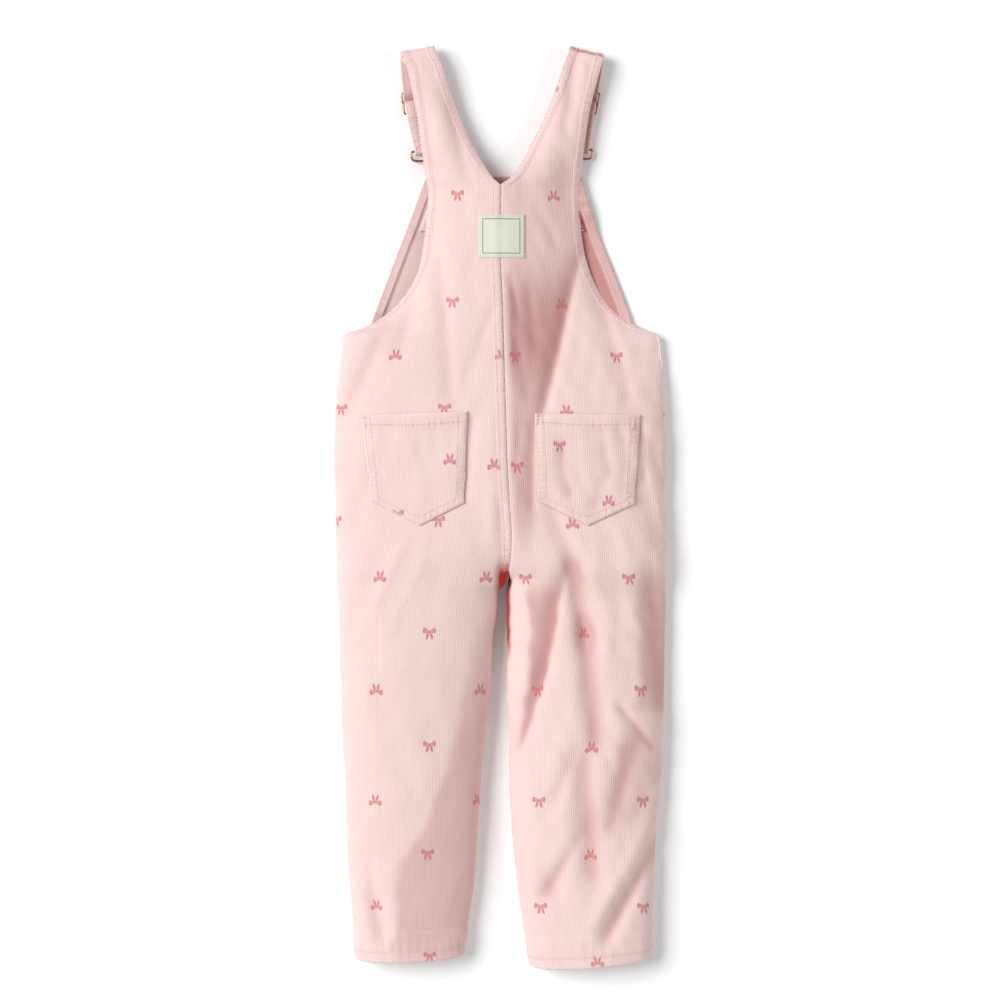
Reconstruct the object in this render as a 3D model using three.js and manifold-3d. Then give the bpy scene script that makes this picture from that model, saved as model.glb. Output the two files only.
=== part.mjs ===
// Toddler overalls in fine-wale corduroy, laid flat on their front with the back up.
// Millimetres. +X is to the wearer's right, +Y runs to the shoulders,
// +Z is up from the surface that the garment lies on, which is z = 0.
import * as THREE from 'three';
import { mergeVertices } from 'three/addons/utils/BufferGeometryUtils.js';
import Module from 'manifold-3d';

const wasm = await Module();
wasm.setup();

// Driving sizes
const BACK_WALL = 1.6; // corduroy with its turned allowances
const FRONT_WALL = 1.5;
const TRIM_WALL = 1.1; // facing and label
const SEAM_GAP = 0.3; // between two pieces that are sewn together
const SIDE_SEAM_Z = 7.0; // height of the side and inside-leg seams
const HEM_BAND = 0.6; // what a turned and stitched edge adds to the wall
const EDGE_TURN = 7.0; // depth of a turned edge at neck, armhole and centre seam
const LEG_HEM = 20.0; // depth of the turned leg hem
const DOME_POWER = 0.8; // how full the back stands between its seams
const STRAP_WIDTH = 28.0;
const FOLD_RADIUS = 4.6; // shoulder fold of the strap
const FOLD_Z = 8.1;
const WIRE = 1.0; // radius of the slide wire
const BUCKLE_WIRE = 1.1;
const WIRE_Z = 3.0; // height of the slide and buckle wire
const SLIDE_PITCH = 8.5; // between two bars of the slide
const SLIDE_AT = 39.0; // from the shoulder fold to the slide's middle bar
const BUCKLE_AT = 77.0; // from the shoulder fold to the buckle's bar
const BIB_LIFT = 4.4; // the bib's top lies on the buckles and buttons
const WAIST_Y = 133.0; // seam between the bib and the leg fronts
const ROW_PITCH = 19.5; // longest step between two sections
const NECK_Y = 250.0; // foot of the neck opening, where the centre-back seam starts
const CROTCH_Y = -60.0; // end of the centre-back seam
const STEEP = 79; // an edge turned more than this many degrees stands upright
const FOLD_TURNS = [-62, -25, 15, 55]; // sections round the shoulder fold, in degrees

const CLOTH = { color: 0xfadcd8, roughness: 0.92, metalness: 0.0 };
const CREAM = { color: 0xe8e6d8, roughness: 0.8, metalness: 0.0 };
const COPPER = { color: 0xc47a58, roughness: 0.3, metalness: 1.0 };

// Centre-back seam in plan: level, x
const CENTRE_SEAM = [
  { y: 250, x: 0.8 },
  { y: 201, x: 0.2 },
  { y: 162, x: 1.6 },
  { y: 115, x: 3.1 },
  { y: 68, x: 4.7 },
  { y: 37, x: 5.6 },
  { y: 5, x: 7.3 },
  { y: -26, x: 9.3 },
  { y: -40, x: 9.2 },
  { y: -54, x: 7.3 },
];

// Sections of a back panel from the shoulder to the hem. A section runs in plan from its outer
// point (xo, yo) to its inner point (xi, yi); xi null is on the centre seam. edge and crown are
// heights of the wall's middle, ao and ai the turn of the dome at both ends in degrees, and sag
// how far the middle hangs towards the hem.
const LEFT_SECTIONS = [
  { xo: -77.4, yo: 350.0, xi: -49.6, yi: 355.4, edge: 12.7, crown: 13.4, ao: -55, ai: 55, sag: 0 },
  { xo: -73.0, yo: 344.2, xi: -45.1, yi: 345.6, edge: 12.5, crown: 14.4, ao: -58, ai: 58, sag: 0 },
  { xo: -70.2, yo: 333.0, xi: -41.6, yi: 333.4, edge: 12.0, crown: 15.0, ao: -60, ai: 60, sag: 0 },
  { xo: -67.4, yo: 319.1, xi: -36.9, yi: 319.1, edge: 11.4, crown: 15.6, ao: -60, ai: 60, sag: 0 },
  { xo: -64.4, yo: 303.4, xi: -31.0, yi: 303.4, edge: 10.6, crown: 17.0, ao: -60, ai: 58, sag: 0 },
  { xo: -61.8, yo: 285.3, xi: -23.2, yi: 285.3, edge: 10.0, crown: 18.5, ao: -62, ai: 52, sag: 0 },
  { xo: -59.3, yo: 268.1, xi: -13.3, yi: 268.1, edge: 9.5, crown: 20.0, ao: -64, ai: 40, sag: 0 },
  { xo: -57.3, yo: 256.3, xi: -5.1, yi: 256.0, edge: 9.0, crown: 21.4, ao: -66, ai: 22, sag: 0 },
  { xo: -56.0, yo: 247.7, xi: null, yi: 250.0, edge: 9.0, crown: 22.4, ao: -67, ai: 0, sag: 0 },
  { xo: -56.7, yo: 231.2, xi: null, yi: 231.2, edge: 9.0, crown: 23.6, ao: -68, ai: 0, sag: 0 },
  { xo: -58.2, yo: 215.5, xi: null, yi: 215.5, edge: 8.6, crown: 24.6, ao: -70, ai: 0, sag: 0 },
  { xo: -60.0, yo: 202.1, xi: null, yi: 201.3, edge: 8.5, crown: 25.5, ao: -71, ai: 0, sag: 0 },
  { xo: -63.2, yo: 186.0, xi: null, yi: 185.7, edge: 8.2, crown: 26.6, ao: -73, ai: 0, sag: 0 },
  { xo: -68.5, yo: 173.4, xi: null, yi: 174.7, edge: 8.0, crown: 27.4, ao: -75, ai: 0, sag: 0 },
  { xo: -75.8, yo: 162.6, xi: null, yi: 165.2, edge: 7.8, crown: 28.1, ao: -77, ai: 0, sag: 0 },
  { xo: -84.8, yo: 152.7, xi: null, yi: 157.4, edge: 7.6, crown: 28.8, ao: -79, ai: 0, sag: 0 },
  { xo: -95.8, yo: 144.5, xi: null, yi: 150.3, edge: 7.4, crown: 29.5, ao: -82, ai: 0, sag: 0 },
  { xo: -108.3, yo: 138.0, xi: null, yi: 142.9, edge: 7.2, crown: 30.1, ao: -86, ai: 0, sag: 0 },
  { xo: -121.7, yo: 132.9, xi: null, yi: 135.4, edge: 7.0, crown: 30.7, ao: -90, ai: 0, sag: 0 },
  { xo: -123.2, yo: 121.3, xi: null, yi: 122.9, edge: 7.0, crown: 31.5, ao: -90, ai: 0, sag: 0 },
  { xo: -126.4, yo: 96.2, xi: null, yi: 96.2, edge: 7.0, crown: 33.0, ao: -90, ai: 0, sag: 0 },
  { xo: -128.7, yo: 67.9, xi: null, yi: 67.9, edge: 7.0, crown: 34.0, ao: -90, ai: 0, sag: 0 },
  { xo: -129.5, yo: 36.5, xi: null, yi: 36.5, edge: 7.0, crown: 34.5, ao: -90, ai: 0, sag: 0 },
  { xo: -128.0, yo: 5.1, xi: null, yi: 5.1, edge: 7.0, crown: 34.5, ao: -90, ai: 2, sag: 0 },
  { xo: -127.6, yo: -26.3, xi: null, yi: -26.3, edge: 7.0, crown: 34.0, ao: -90, ai: 18, sag: 0 },
  { xo: -127.0, yo: -40.4, xi: null, yi: -40.4, edge: 7.0, crown: 33.6, ao: -90, ai: 42, sag: 0 },
  { xo: -126.6, yo: -52.2, xi: null, yi: -52.2, edge: 7.0, crown: 33.2, ao: -90, ai: 68, sag: 0 },
  { xo: -126.3, yo: -60.1, xi: 3.6, yi: -60.1, edge: 7.0, crown: 33.0, ao: -90, ai: 80, sag: 0 },
  { xo: -126.0, yo: -67.5, xi: -2.2, yi: -67.5, edge: 7.0, crown: 33.0, ao: -90, ai: 84, sag: 0 },
  { xo: -125.4, yo: -82.0, xi: -3.0, yi: -82.0, edge: 7.0, crown: 33.0, ao: -90, ai: 84, sag: 0 },
  { xo: -124.8, yo: -104.8, xi: -6.3, yi: -104.8, edge: 7.0, crown: 33.0, ao: -90, ai: 88, sag: 0 },
  { xo: -124.0, yo: -142.5, xi: -7.9, yi: -142.5, edge: 7.0, crown: 32.6, ao: -90, ai: 90, sag: 0 },
  { xo: -122.5, yo: -180.2, xi: -12.4, yi: -180.2, edge: 7.0, crown: 32.0, ao: -90, ai: 90, sag: 0 },
  { xo: -120.1, yo: -217.8, xi: -15.7, yi: -217.8, edge: 7.0, crown: 31.0, ao: -90, ai: 90, sag: 0 },
  { xo: -119.3, yo: -255.5, xi: -18.1, yi: -255.5, edge: 7.0, crown: 30.0, ao: -90, ai: 90, sag: 0 },
  { xo: -117.0, yo: -293.2, xi: -20.6, yi: -293.2, edge: 7.0, crown: 28.6, ao: -90, ai: 90, sag: 0 },
  { xo: -114.0, yo: -329.5, xi: -25.7, yi: -326.0, edge: 7.0, crown: 26.8, ao: -90, ai: 90, sag: 2 },
  { xo: -112.3, yo: -351.5, xi: -28.6, yi: -348.5, edge: 7.0, crown: 25.4, ao: -90, ai: 90, sag: 6 },
];

const RIGHT_SECTIONS = [
  { xo: 80.4, yo: 347.6, xi: 52.6, yi: 354.8, edge: 12.7, crown: 13.4, ao: -55, ai: 55, sag: 0 },
  { xo: 78.4, yo: 341.6, xi: 48.7, yi: 344.0, edge: 12.5, crown: 14.4, ao: -58, ai: 58, sag: 0 },
  { xo: 75.8, yo: 332.3, xi: 45.3, yi: 332.8, edge: 12.0, crown: 15.0, ao: -60, ai: 60, sag: 0 },
  { xo: 72.2, yo: 319.1, xi: 40.8, yi: 319.1, edge: 11.4, crown: 15.6, ao: -60, ai: 60, sag: 0 },
  { xo: 68.8, yo: 303.4, xi: 34.5, yi: 303.4, edge: 10.6, crown: 17.0, ao: -60, ai: 58, sag: 0 },
  { xo: 66.1, yo: 285.3, xi: 25.6, yi: 285.3, edge: 10.0, crown: 18.5, ao: -62, ai: 52, sag: 0 },
  { xo: 64.1, yo: 268.8, xi: 16.6, yi: 268.8, edge: 9.5, crown: 20.0, ao: -64, ai: 40, sag: 0 },
  { xo: 63.1, yo: 256.3, xi: 7.4, yi: 256.0, edge: 9.0, crown: 21.4, ao: -66, ai: 22, sag: 0 },
  { xo: 62.9, yo: 246.9, xi: null, yi: 250.0, edge: 9.0, crown: 22.4, ao: -67, ai: 0, sag: 0 },
  { xo: 63.0, yo: 231.2, xi: null, yi: 231.2, edge: 9.0, crown: 23.6, ao: -68, ai: 0, sag: 0 },
  { xo: 63.4, yo: 215.5, xi: null, yi: 215.5, edge: 8.6, crown: 24.6, ao: -70, ai: 0, sag: 0 },
  { xo: 65.5, yo: 201.4, xi: null, yi: 201.3, edge: 8.5, crown: 25.5, ao: -71, ai: 0, sag: 0 },
  { xo: 69.1, yo: 187.2, xi: null, yi: 185.7, edge: 8.2, crown: 26.6, ao: -73, ai: 0, sag: 0 },
  { xo: 74.6, yo: 173.9, xi: null, yi: 174.7, edge: 8.0, crown: 27.4, ao: -75, ai: 0, sag: 0 },
  { xo: 81.6, yo: 161.8, xi: null, yi: 165.2, edge: 7.8, crown: 28.1, ao: -77, ai: 0, sag: 0 },
  { xo: 89.5, yo: 152.3, xi: null, yi: 157.4, edge: 7.6, crown: 28.8, ao: -79, ai: 0, sag: 0 },
  { xo: 98.3, yo: 145.6, xi: null, yi: 150.3, edge: 7.4, crown: 29.5, ao: -82, ai: 0, sag: 0 },
  { xo: 110.2, yo: 139.0, xi: null, yi: 142.9, edge: 7.2, crown: 30.1, ao: -86, ai: 0, sag: 0 },
  { xo: 124.0, yo: 132.9, xi: null, yi: 135.4, edge: 7.0, crown: 30.7, ao: -90, ai: 0, sag: 0 },
  { xo: 125.6, yo: 121.3, xi: null, yi: 122.9, edge: 7.0, crown: 31.5, ao: -90, ai: 0, sag: 0 },
  { xo: 127.6, yo: 96.2, xi: null, yi: 96.2, edge: 7.0, crown: 33.0, ao: -90, ai: 0, sag: 0 },
  { xo: 128.3, yo: 67.9, xi: null, yi: 67.9, edge: 7.0, crown: 34.0, ao: -90, ai: 0, sag: 0 },
  { xo: 130.0, yo: 36.5, xi: null, yi: 36.5, edge: 7.0, crown: 34.5, ao: -90, ai: 0, sag: 0 },
  { xo: 128.7, yo: 5.1, xi: null, yi: 5.1, edge: 7.0, crown: 34.5, ao: -90, ai: 0, sag: 0 },
  { xo: 130.0, yo: -26.3, xi: null, yi: -26.3, edge: 7.0, crown: 34.0, ao: -90, ai: 12, sag: 0 },
  { xo: 129.8, yo: -40.4, xi: null, yi: -40.4, edge: 7.0, crown: 33.6, ao: -90, ai: 32, sag: 0 },
  { xo: 129.6, yo: -52.2, xi: null, yi: -52.2, edge: 7.0, crown: 33.2, ao: -90, ai: 62, sag: 0 },
  { xo: 129.5, yo: -60.1, xi: 6.6, yi: -60.1, edge: 7.0, crown: 33.0, ao: -90, ai: 80, sag: 0 },
  { xo: 129.5, yo: -67.5, xi: 5.4, yi: -67.5, edge: 7.0, crown: 33.0, ao: -90, ai: 84, sag: 0 },
  { xo: 129.3, yo: -82.0, xi: 5.8, yi: -82.0, edge: 7.0, crown: 33.0, ao: -90, ai: 84, sag: 0 },
  { xo: 128.7, yo: -104.8, xi: 6.2, yi: -104.8, edge: 7.0, crown: 33.0, ao: -90, ai: 88, sag: 0 },
  { xo: 128.0, yo: -142.5, xi: 6.3, yi: -142.5, edge: 7.0, crown: 32.6, ao: -90, ai: 90, sag: 0 },
  { xo: 127.2, yo: -180.2, xi: 7.9, yi: -180.2, edge: 7.0, crown: 32.0, ao: -90, ai: 90, sag: 0 },
  { xo: 125.6, yo: -217.8, xi: 8.2, yi: -217.8, edge: 7.0, crown: 31.0, ao: -90, ai: 90, sag: 0 },
  { xo: 121.4, yo: -255.5, xi: 10.2, yi: -255.5, edge: 7.0, crown: 30.0, ao: -90, ai: 90, sag: 0 },
  { xo: 120.1, yo: -293.2, xi: 14.1, yi: -293.2, edge: 7.0, crown: 28.6, ao: -90, ai: 90, sag: 0 },
  { xo: 119.3, yo: -325.0, xi: 19.2, yi: -329.0, edge: 7.0, crown: 26.8, ao: -90, ai: 90, sag: 3 },
  { xo: 117.6, yo: -349.0, xi: 24.0, yi: -356.0, edge: 7.0, crown: 25.4, ao: -90, ai: 90, sag: 8 },
];

// Run of the strap on the garment's front: distance from the shoulder fold, height of the
// wall's middle. It passes over the slide's outer bars and under its middle one, turns round
// the buckle's bar and comes back to the middle bar.
const STRAP_RUN = [
  { at: 5.0, z: 3.5 },
  { at: 20.0, z: 3.9 },
  { at: SLIDE_AT - SLIDE_PITCH, z: 5.3 },
  { at: SLIDE_AT - SLIDE_PITCH / 2, z: 3.0 },
  { at: SLIDE_AT, z: 0.8 },
  { at: SLIDE_AT + SLIDE_PITCH / 2, z: 3.0 },
  { at: SLIDE_AT + SLIDE_PITCH, z: 5.3 },
  { at: 58.0, z: 1.9 },
  { at: 66.0, z: 0.9 },
  { at: BUCKLE_AT, z: 0.8 },
  { at: BUCKLE_AT + 1.6, z: 1.5 },
  { at: BUCKLE_AT + 2.2, z: 3.0 },
  { at: BUCKLE_AT + 1.6, z: 4.5 },
  { at: BUCKLE_AT, z: 5.2 },
  { at: 66.0, z: 5.5 },
  { at: 55.0, z: 6.3 },
  { at: SLIDE_AT + SLIDE_PITCH, z: 7.3 },
  { at: SLIDE_AT + SLIDE_PITCH / 2, z: 6.8 },
  { at: SLIDE_AT - 1.2, z: 5.3 },
];

// Lines of the strap at the shoulder fold and at the buckle's bar, and how far it bows outwards
const LEFT_STRAP = { foldOut: [-78.5, 355.2], foldIn: [-51.0, 360.3], barOut: [-66.9, 278.4], bow: 2.2 };
const RIGHT_STRAP = { foldOut: [81.6, 352.9], foldIn: [54.2, 359.9], barOut: [69.9, 280.0], bow: -0.2 };

// Folds in the back: a line in plan, half width and depth of the trough; a ridge is negative
const FOLDS = [
  { x0: -47, y0: 186, x1: -38, y1: 91, width: 12, depth: 2.0 },
  { x0: -71, y0: 154, x1: -79, y1: 123, width: 9, depth: 2.0 },
  { x0: -90, y0: 139, x1: -120, y1: 76, width: 9, depth: 2.4 },
  { x0: -39, y0: 315, x1: -27, y1: 264, width: 6, depth: 1.4 },
  { x0: -51, y0: 268, x1: -27, y1: 256, width: 7, depth: 1.2 },
  { x0: -8, y0: 68, x1: -6, y1: -18, width: 7, depth: -1.4 },
  { x0: -20, y0: 68, x1: -26, y1: 13, width: 7, depth: 2.2 },
  { x0: -24, y0: -66, x1: -43, y1: -230, width: 13, depth: 2.0 },
  { x0: -100, y0: -312, x1: -92, y1: -334, width: 8, depth: 1.5 },
  { x0: 59, y0: 350, x1: 51, y1: 296, width: 6, depth: 1.4 },
  { x0: 51, y0: 262, x1: 50, y1: 246, width: 8, depth: 1.2 },
  { x0: 60, y0: 190, x1: 35, y1: 76, width: 10, depth: 4.0 },
  { x0: 74, y0: 186, x1: 51, y1: 78, width: 8, depth: -2.0 },
  { x0: 79, y0: 154, x1: 98, y1: 84, width: 10, depth: 2.5 },
  { x0: 10, y0: 162, x1: 14, y1: 118, width: 7, depth: 1.4 },
  { x0: 18, y0: 123, x1: 28, y1: 76, width: 9, depth: 3.0 },
  { x0: 28, y0: 76, x1: 29, y1: 0, width: 9, depth: 3.4 },
  { x0: 111, y0: 60, x1: 123, y1: 29, width: 8, depth: 2.0 },
  { x0: 108, y0: 17, x1: 122, y1: -28, width: 8, depth: 2.5 },
  { x0: 39, y0: -3, x1: 59, y1: -50, width: 11, depth: 3.6 },
  { x0: 59, y0: -50, x1: 71, y1: -97, width: 11, depth: 4.0 },
  { x0: 71, y0: -97, x1: 72, y1: -191, width: 11, depth: 3.6 },
  { x0: 31, y0: -66, x1: 33, y1: -109, width: 9, depth: 3.0 },
  { x0: 33, y0: -109, x1: 24, y1: -168, width: 9, depth: 2.6 },
  { x0: 50, y0: -73, x1: 49, y1: -175, width: 10, depth: -1.8 },
  { x0: 68, y0: -215, x1: 71, y1: -274, width: 10, depth: 2.0 },
  { x0: 114, y0: -58, x1: 122, y1: -150, width: 9, depth: 2.0 },
  { x0: 94, y0: -156, x1: 108, y1: -191, width: 8, depth: 2.0 },
  { x0: 82, y0: -207, x1: 115, y1: -230, width: 8, depth: 2.0 },
  { x0: 116, y0: -270, x1: 84, y1: -326, width: 10, depth: 3.6 },
  { x0: 118, y0: -238, x1: 79, y1: -293, width: 10, depth: -2.8 },
];

// Bib: level, left and right edge, height of its ends above its middle
const BIB_SECTIONS = [
  { y: 258.6, left: -58.1, right: 64.3, curl: 0 },
  { y: 248.0, left: -62.0, right: 66.5, curl: 0 },
  { y: 238.0, left: -65.7, right: 69.7, curl: 0 },
  { y: 226.0, left: -70.2, right: 73.7, curl: 0 },
  { y: 214.0, left: -74.7, right: 77.6, curl: 0 },
  { y: 201.0, left: -79.8, right: 82.6, curl: 0 },
  { y: 182.0, left: -87.0, right: 90.4, curl: 0 },
  { y: 162.0, left: -94.6, right: 98.1, curl: 0.3 },
  { y: 148.0, left: -100.0, right: 102.8, curl: 1.2 },
  { y: 140.5, left: -103.0, right: 105.0, curl: 2.6 },
  { y: 136.5, left: -111.5, right: 113.5, curl: 3.6 },
  { y: WAIST_Y + SEAM_GAP / 2, left: -121.6, right: 123.9, curl: 5.0 },
];
const BIB_FACING_END = 215.5; // lower edge of the bib's facing
const BIB_STRIP = 8.0; // turned side edge of the bib
const BIB_WALL_STEP = 0.6; // the facing stops just short of the bib's top edge
const FACING_COLUMNS = [0, 0.15, 0.5, 0.85, 1];

// Back pockets: corners in plan, from the upper outer one round
const LEFT_POCKET = {
  topOut: [-108.3, 71.0],
  topIn: [-25.2, 74.2],
  lowOut: [-99.7, 3.5],
  lowIn: [-27.5, 2.8],
  point: [-62.8, -15.3],
};
const RIGHT_POCKET = {
  topOut: [109.9, 71.8],
  topIn: [26.8, 72.6],
  lowOut: [105.2, 2.0],
  lowIn: [30.7, 3.1],
  point: [68.3, -15.3],
};
const POCKET_WALL = 1.3;
const POCKET_LIFT = 0.45; // clear of the panel's facets
const LABEL = { x0: -17.0, x1: 19.0, y0: 194.0, y1: 228.0 };
const LABEL_COLUMNS = [0, 0.2, 0.42, 0.58, 0.8, 1];
const LABEL_ROWS = [0, 0.33, 0.67, 1];

// Half width of the bar, depth of its sides, then the shoulders, the neck and the button's ring
const BUCKLE = {
  half: 17.0,
  side: 5.5,
  shoulder: 13.0,
  shoulderAt: 7.5,
  neck: 3.6,
  neckAt: 22.5,
  eye: 30.5,
  ring: 5.6,
};
const BUTTON = { head: 7.8, headHeight: 1.5, shank: 2.6 };

const rad = (degrees) => (degrees * Math.PI) / 180;
const lerp = (a, b, t) => a + (b - a) * t;
const clamp01 = (t) => Math.min(1, Math.max(0, t));
const smooth = (t) => clamp01(t) ** 2 * (3 - 2 * clamp01(t));

// Monotone cubic through the knots (s, v), so no width or height overshoots its table
function curveThrough(s, v) {
  const n = s.length;
  const step = [];
  for (let i = 0; i < n - 1; i++) step.push((v[i + 1] - v[i]) / (s[i + 1] - s[i]));
  const slope = [step[0]];
  for (let i = 1; i < n - 1; i++) {
    const flat = step[i - 1] * step[i] <= 0;
    slope.push(flat ? 0 : (2 * step[i - 1] * step[i]) / (step[i - 1] + step[i]));
  }
  slope.push(step[n - 2]);
  return (x) => {
    let i = 0;
    while (i < n - 2 && x > s[i + 1]) i++;
    const h = s[i + 1] - s[i];
    const t = clamp01((x - s[i]) / h);
    const t2 = t * t;
    const t3 = t2 * t;
    return (
      (2 * t3 - 3 * t2 + 1) * v[i] +
      (t3 - 2 * t2 + t) * h * slope[i] +
      (3 * t2 - 2 * t3) * v[i + 1] +
      (t3 - t2) * h * slope[i + 1]
    );
  };
}

const seamKnots = [...CENTRE_SEAM].reverse();
const seamX = curveThrough(seamKnots.map((k) => k.y), seamKnots.map((k) => k.x));

// Depth that all folds together take from the height at a point in plan
function foldDepth(x, y) {
  let sum = 0;
  for (const f of FOLDS) {
    const dx = f.x1 - f.x0;
    const dy = f.y1 - f.y0;
    const length = Math.hypot(dx, dy);
    const along = ((x - f.x0) * dx + (y - f.y0) * dy) / length;
    const across = ((x - f.x0) * dy - (y - f.y0) * dx) / length;
    const past = Math.max(0, -along, along - length);
    const reach = (across / f.width) ** 2 + (past / (1.6 * f.width)) ** 2;
    if (reach < 6) sum += f.depth * Math.exp(-1.4 * reach);
  }
  return sum;
}

// One dome section: a point at turn a between its two ends
function domePoint(row, a) {
  const so = Math.sin(rad(row.ao));
  const si = Math.sin(rad(row.ai));
  const share = (Math.sin(a) - so) / (si - so);
  const endCos = Math.max(0, Math.cos(rad(row.ao))) ** DOME_POWER;
  const full = (row.crown - row.edge) / (1 - endCos);
  const cos = Math.max(0, Math.cos(a));
  const x = lerp(row.xo, row.xi, share);
  const y = lerp(row.yo, row.yi, share) - row.sag * Math.sqrt(cos);
  const z = row.crown - full + full * cos ** DOME_POWER;
  const fold = row.flat ? 0 : foldDepth(x, y) * Math.sqrt(cos);
  return new THREE.Vector3(x, y, z - fold);
}

// Turned strap point: fold, run down the front, loop and return
function strapLines(strap) {
  const out = new THREE.Vector3(strap.foldOut[0], strap.foldOut[1], 0);
  const inner = new THREE.Vector3(strap.foldIn[0], strap.foldIn[1], 0);
  const barOut = new THREE.Vector3(strap.barOut[0], strap.barOut[1], 0);
  const down = barOut.clone().sub(out).normalize();
  const inward = new THREE.Vector3(-down.y, down.x, 0);
  if (inward.dot(inner.clone().sub(out)) < 0) inward.negate();
  const barIn = barOut.clone().addScaledVector(inward, STRAP_WIDTH);
  return { out, inner, barOut, barIn, down, inward };
}

function strapRow(strap, at, z) {
  const line = strapLines(strap);
  const t = at / BUCKLE_AT;
  const bow = strap.bow * Math.sin(Math.PI * clamp01(t));
  const o = line.out.clone().lerp(line.barOut, t).addScaledVector(line.inward, -bow);
  const i = line.inner.clone().lerp(line.barIn, t).addScaledVector(line.inward, -bow);
  return { xo: o.x, yo: o.y, xi: i.x, yi: i.y, edge: z, crown: z, ao: -50, ai: 50, sag: 0, flat: true };
}

// All sections of a back panel in one list, from the strap's end to the hem
function panelRows(sections, strap, side) {
  const rows = [];
  for (const run of [...STRAP_RUN].reverse()) rows.push(strapRow(strap, run.at, run.z));
  for (const turn of FOLD_TURNS) {
    const a = rad(turn);
    rows.push(strapRow(strap, FOLD_RADIUS * (1 - Math.cos(a)), FOLD_Z + FOLD_RADIUS * Math.sin(a)));
  }
  for (const s of sections) {
    const xi = s.xi === null ? seamX(s.yi) + (side * SEAM_GAP) / 2 : s.xi;
    rows.push({ ...s, xi, flat: false });
  }
  let run = 0;
  rows.forEach((row, k) => {
    if (k > 0) {
      const last = rows[k - 1];
      const dx = (row.xo + row.xi - last.xo - last.xi) / 2;
      const dy = (row.yo + row.yi - last.yo - last.yi) / 2;
      run += Math.hypot(dx, dy, row.crown - last.crown);
    }
    row.s = run;
  });
  return rows;
}

// Sections at every table row and between them at no more than the pitch
function denseRows(rows, pitch) {
  const s = rows.map((row) => row.s);
  const keys = ['xo', 'yo', 'xi', 'yi', 'edge', 'crown', 'ao', 'ai', 'sag'];
  const curves = Object.fromEntries(keys.map((key) => [key, curveThrough(s, rows.map((row) => row[key]))]));
  const dense = [];
  for (let k = 0; k < rows.length; k++) {
    const steps = k === 0 ? 1 : Math.max(1, Math.ceil((s[k] - s[k - 1]) / pitch - 0.05));
    for (let i = 1; i <= steps; i++) {
      const at = k === 0 ? 0 : lerp(s[k - 1], s[k], i / steps);
      const row = Object.fromEntries(keys.map((key) => [key, curves[key](at)]));
      dense.push({ ...row, s: at, flat: rows[k].flat });
    }
  }
  return dense;
}

// Distances along a section where the wall has its columns
const COLUMN_EDGE = [0, 3.2, 7.2, 13, 22];
const COLUMN_MIDDLE = 5;
const COLUMN_SHARE = 0.36; // most of a section that the columns of one edge take
const SECTION_SAMPLES = 96;

function sectionColumns(row) {
  const points = [];
  const length = [0];
  for (let i = 0; i <= SECTION_SAMPLES; i++) {
    points.push(domePoint(row, rad(lerp(row.ao, row.ai, i / SECTION_SAMPLES))));
    if (i > 0) length.push(length[i - 1] + points[i].distanceTo(points[i - 1]));
  }
  const total = length[SECTION_SAMPLES];
  const reach = COLUMN_EDGE[COLUMN_EDGE.length - 1];
  const scale = Math.min(1, (total * COLUMN_SHARE) / reach);
  const targets = COLUMN_EDGE.map((d) => d * scale);
  for (let i = 1; i <= COLUMN_MIDDLE; i++) {
    targets.push(lerp(reach * scale, total - reach * scale, i / (COLUMN_MIDDLE + 1)));
  }
  for (const d of [...COLUMN_EDGE].reverse()) targets.push(total - d * scale);
  return targets.map((target) => {
    let i = 0;
    while (i < SECTION_SAMPLES - 1 && length[i + 1] < target) i++;
    const t = clamp01((target - length[i]) / (length[i + 1] - length[i]));
    return { point: points[i].clone().lerp(points[i + 1], t), fromOuter: target, fromInner: total - target };
  });
}

// A closed wall over a grid of middle points: `half` gives how far the outer and the inner
// face lie from the middle, and `edgeNormal` may turn the normal on an edge
function wallFromGrid(grid, facing, half, edgeNormal = () => null) {
  const rows = grid.length;
  const cols = grid[0].length;
  const at = (i, j) => grid[Math.min(rows - 1, Math.max(0, i))][Math.min(cols - 1, Math.max(0, j))];
  const positions = [];
  const push = (p) => positions.push(p.x, p.y, p.z);
  for (const face of [1, -1]) {
    for (let i = 0; i < rows; i++) {
      for (let j = 0; j < cols; j++) {
        const along = at(i + 1, j).clone().sub(at(i - 1, j));
        const across = at(i, j + 1).clone().sub(at(i, j - 1));
        let normal = along.cross(across).normalize().multiplyScalar(facing);
        normal = edgeNormal(i, j, normal) ?? normal;
        const reach = half(i, j);
        push(at(i, j).clone().addScaledVector(normal, face > 0 ? reach.out : -reach.in));
      }
    }
  }
  const id = (face, i, j) => (face > 0 ? 0 : rows * cols) + i * cols + j;
  const faces = [];
  const quad = (a, b, c, d) => faces.push(a, b, c, a, c, d);
  for (let i = 0; i < rows - 1; i++) {
    for (let j = 0; j < cols - 1; j++) {
      quad(id(1, i, j), id(1, i + 1, j), id(1, i + 1, j + 1), id(1, i, j + 1));
      quad(id(-1, i, j), id(-1, i, j + 1), id(-1, i + 1, j + 1), id(-1, i + 1, j));
    }
  }
  for (let i = 0; i < rows - 1; i++) {
    quad(id(1, i, 0), id(-1, i, 0), id(-1, i + 1, 0), id(1, i + 1, 0));
    quad(id(1, i + 1, cols - 1), id(-1, i + 1, cols - 1), id(-1, i, cols - 1), id(1, i, cols - 1));
  }
  for (let j = 0; j < cols - 1; j++) {
    quad(id(1, 0, j + 1), id(-1, 0, j + 1), id(-1, 0, j), id(1, 0, j));
    quad(id(1, rows - 1, j), id(-1, rows - 1, j), id(-1, rows - 1, j + 1), id(1, rows - 1, j + 1));
  }
  if (facing < 0) faces.reverse();
  return solidGeometry(positions, faces);
}

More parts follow.
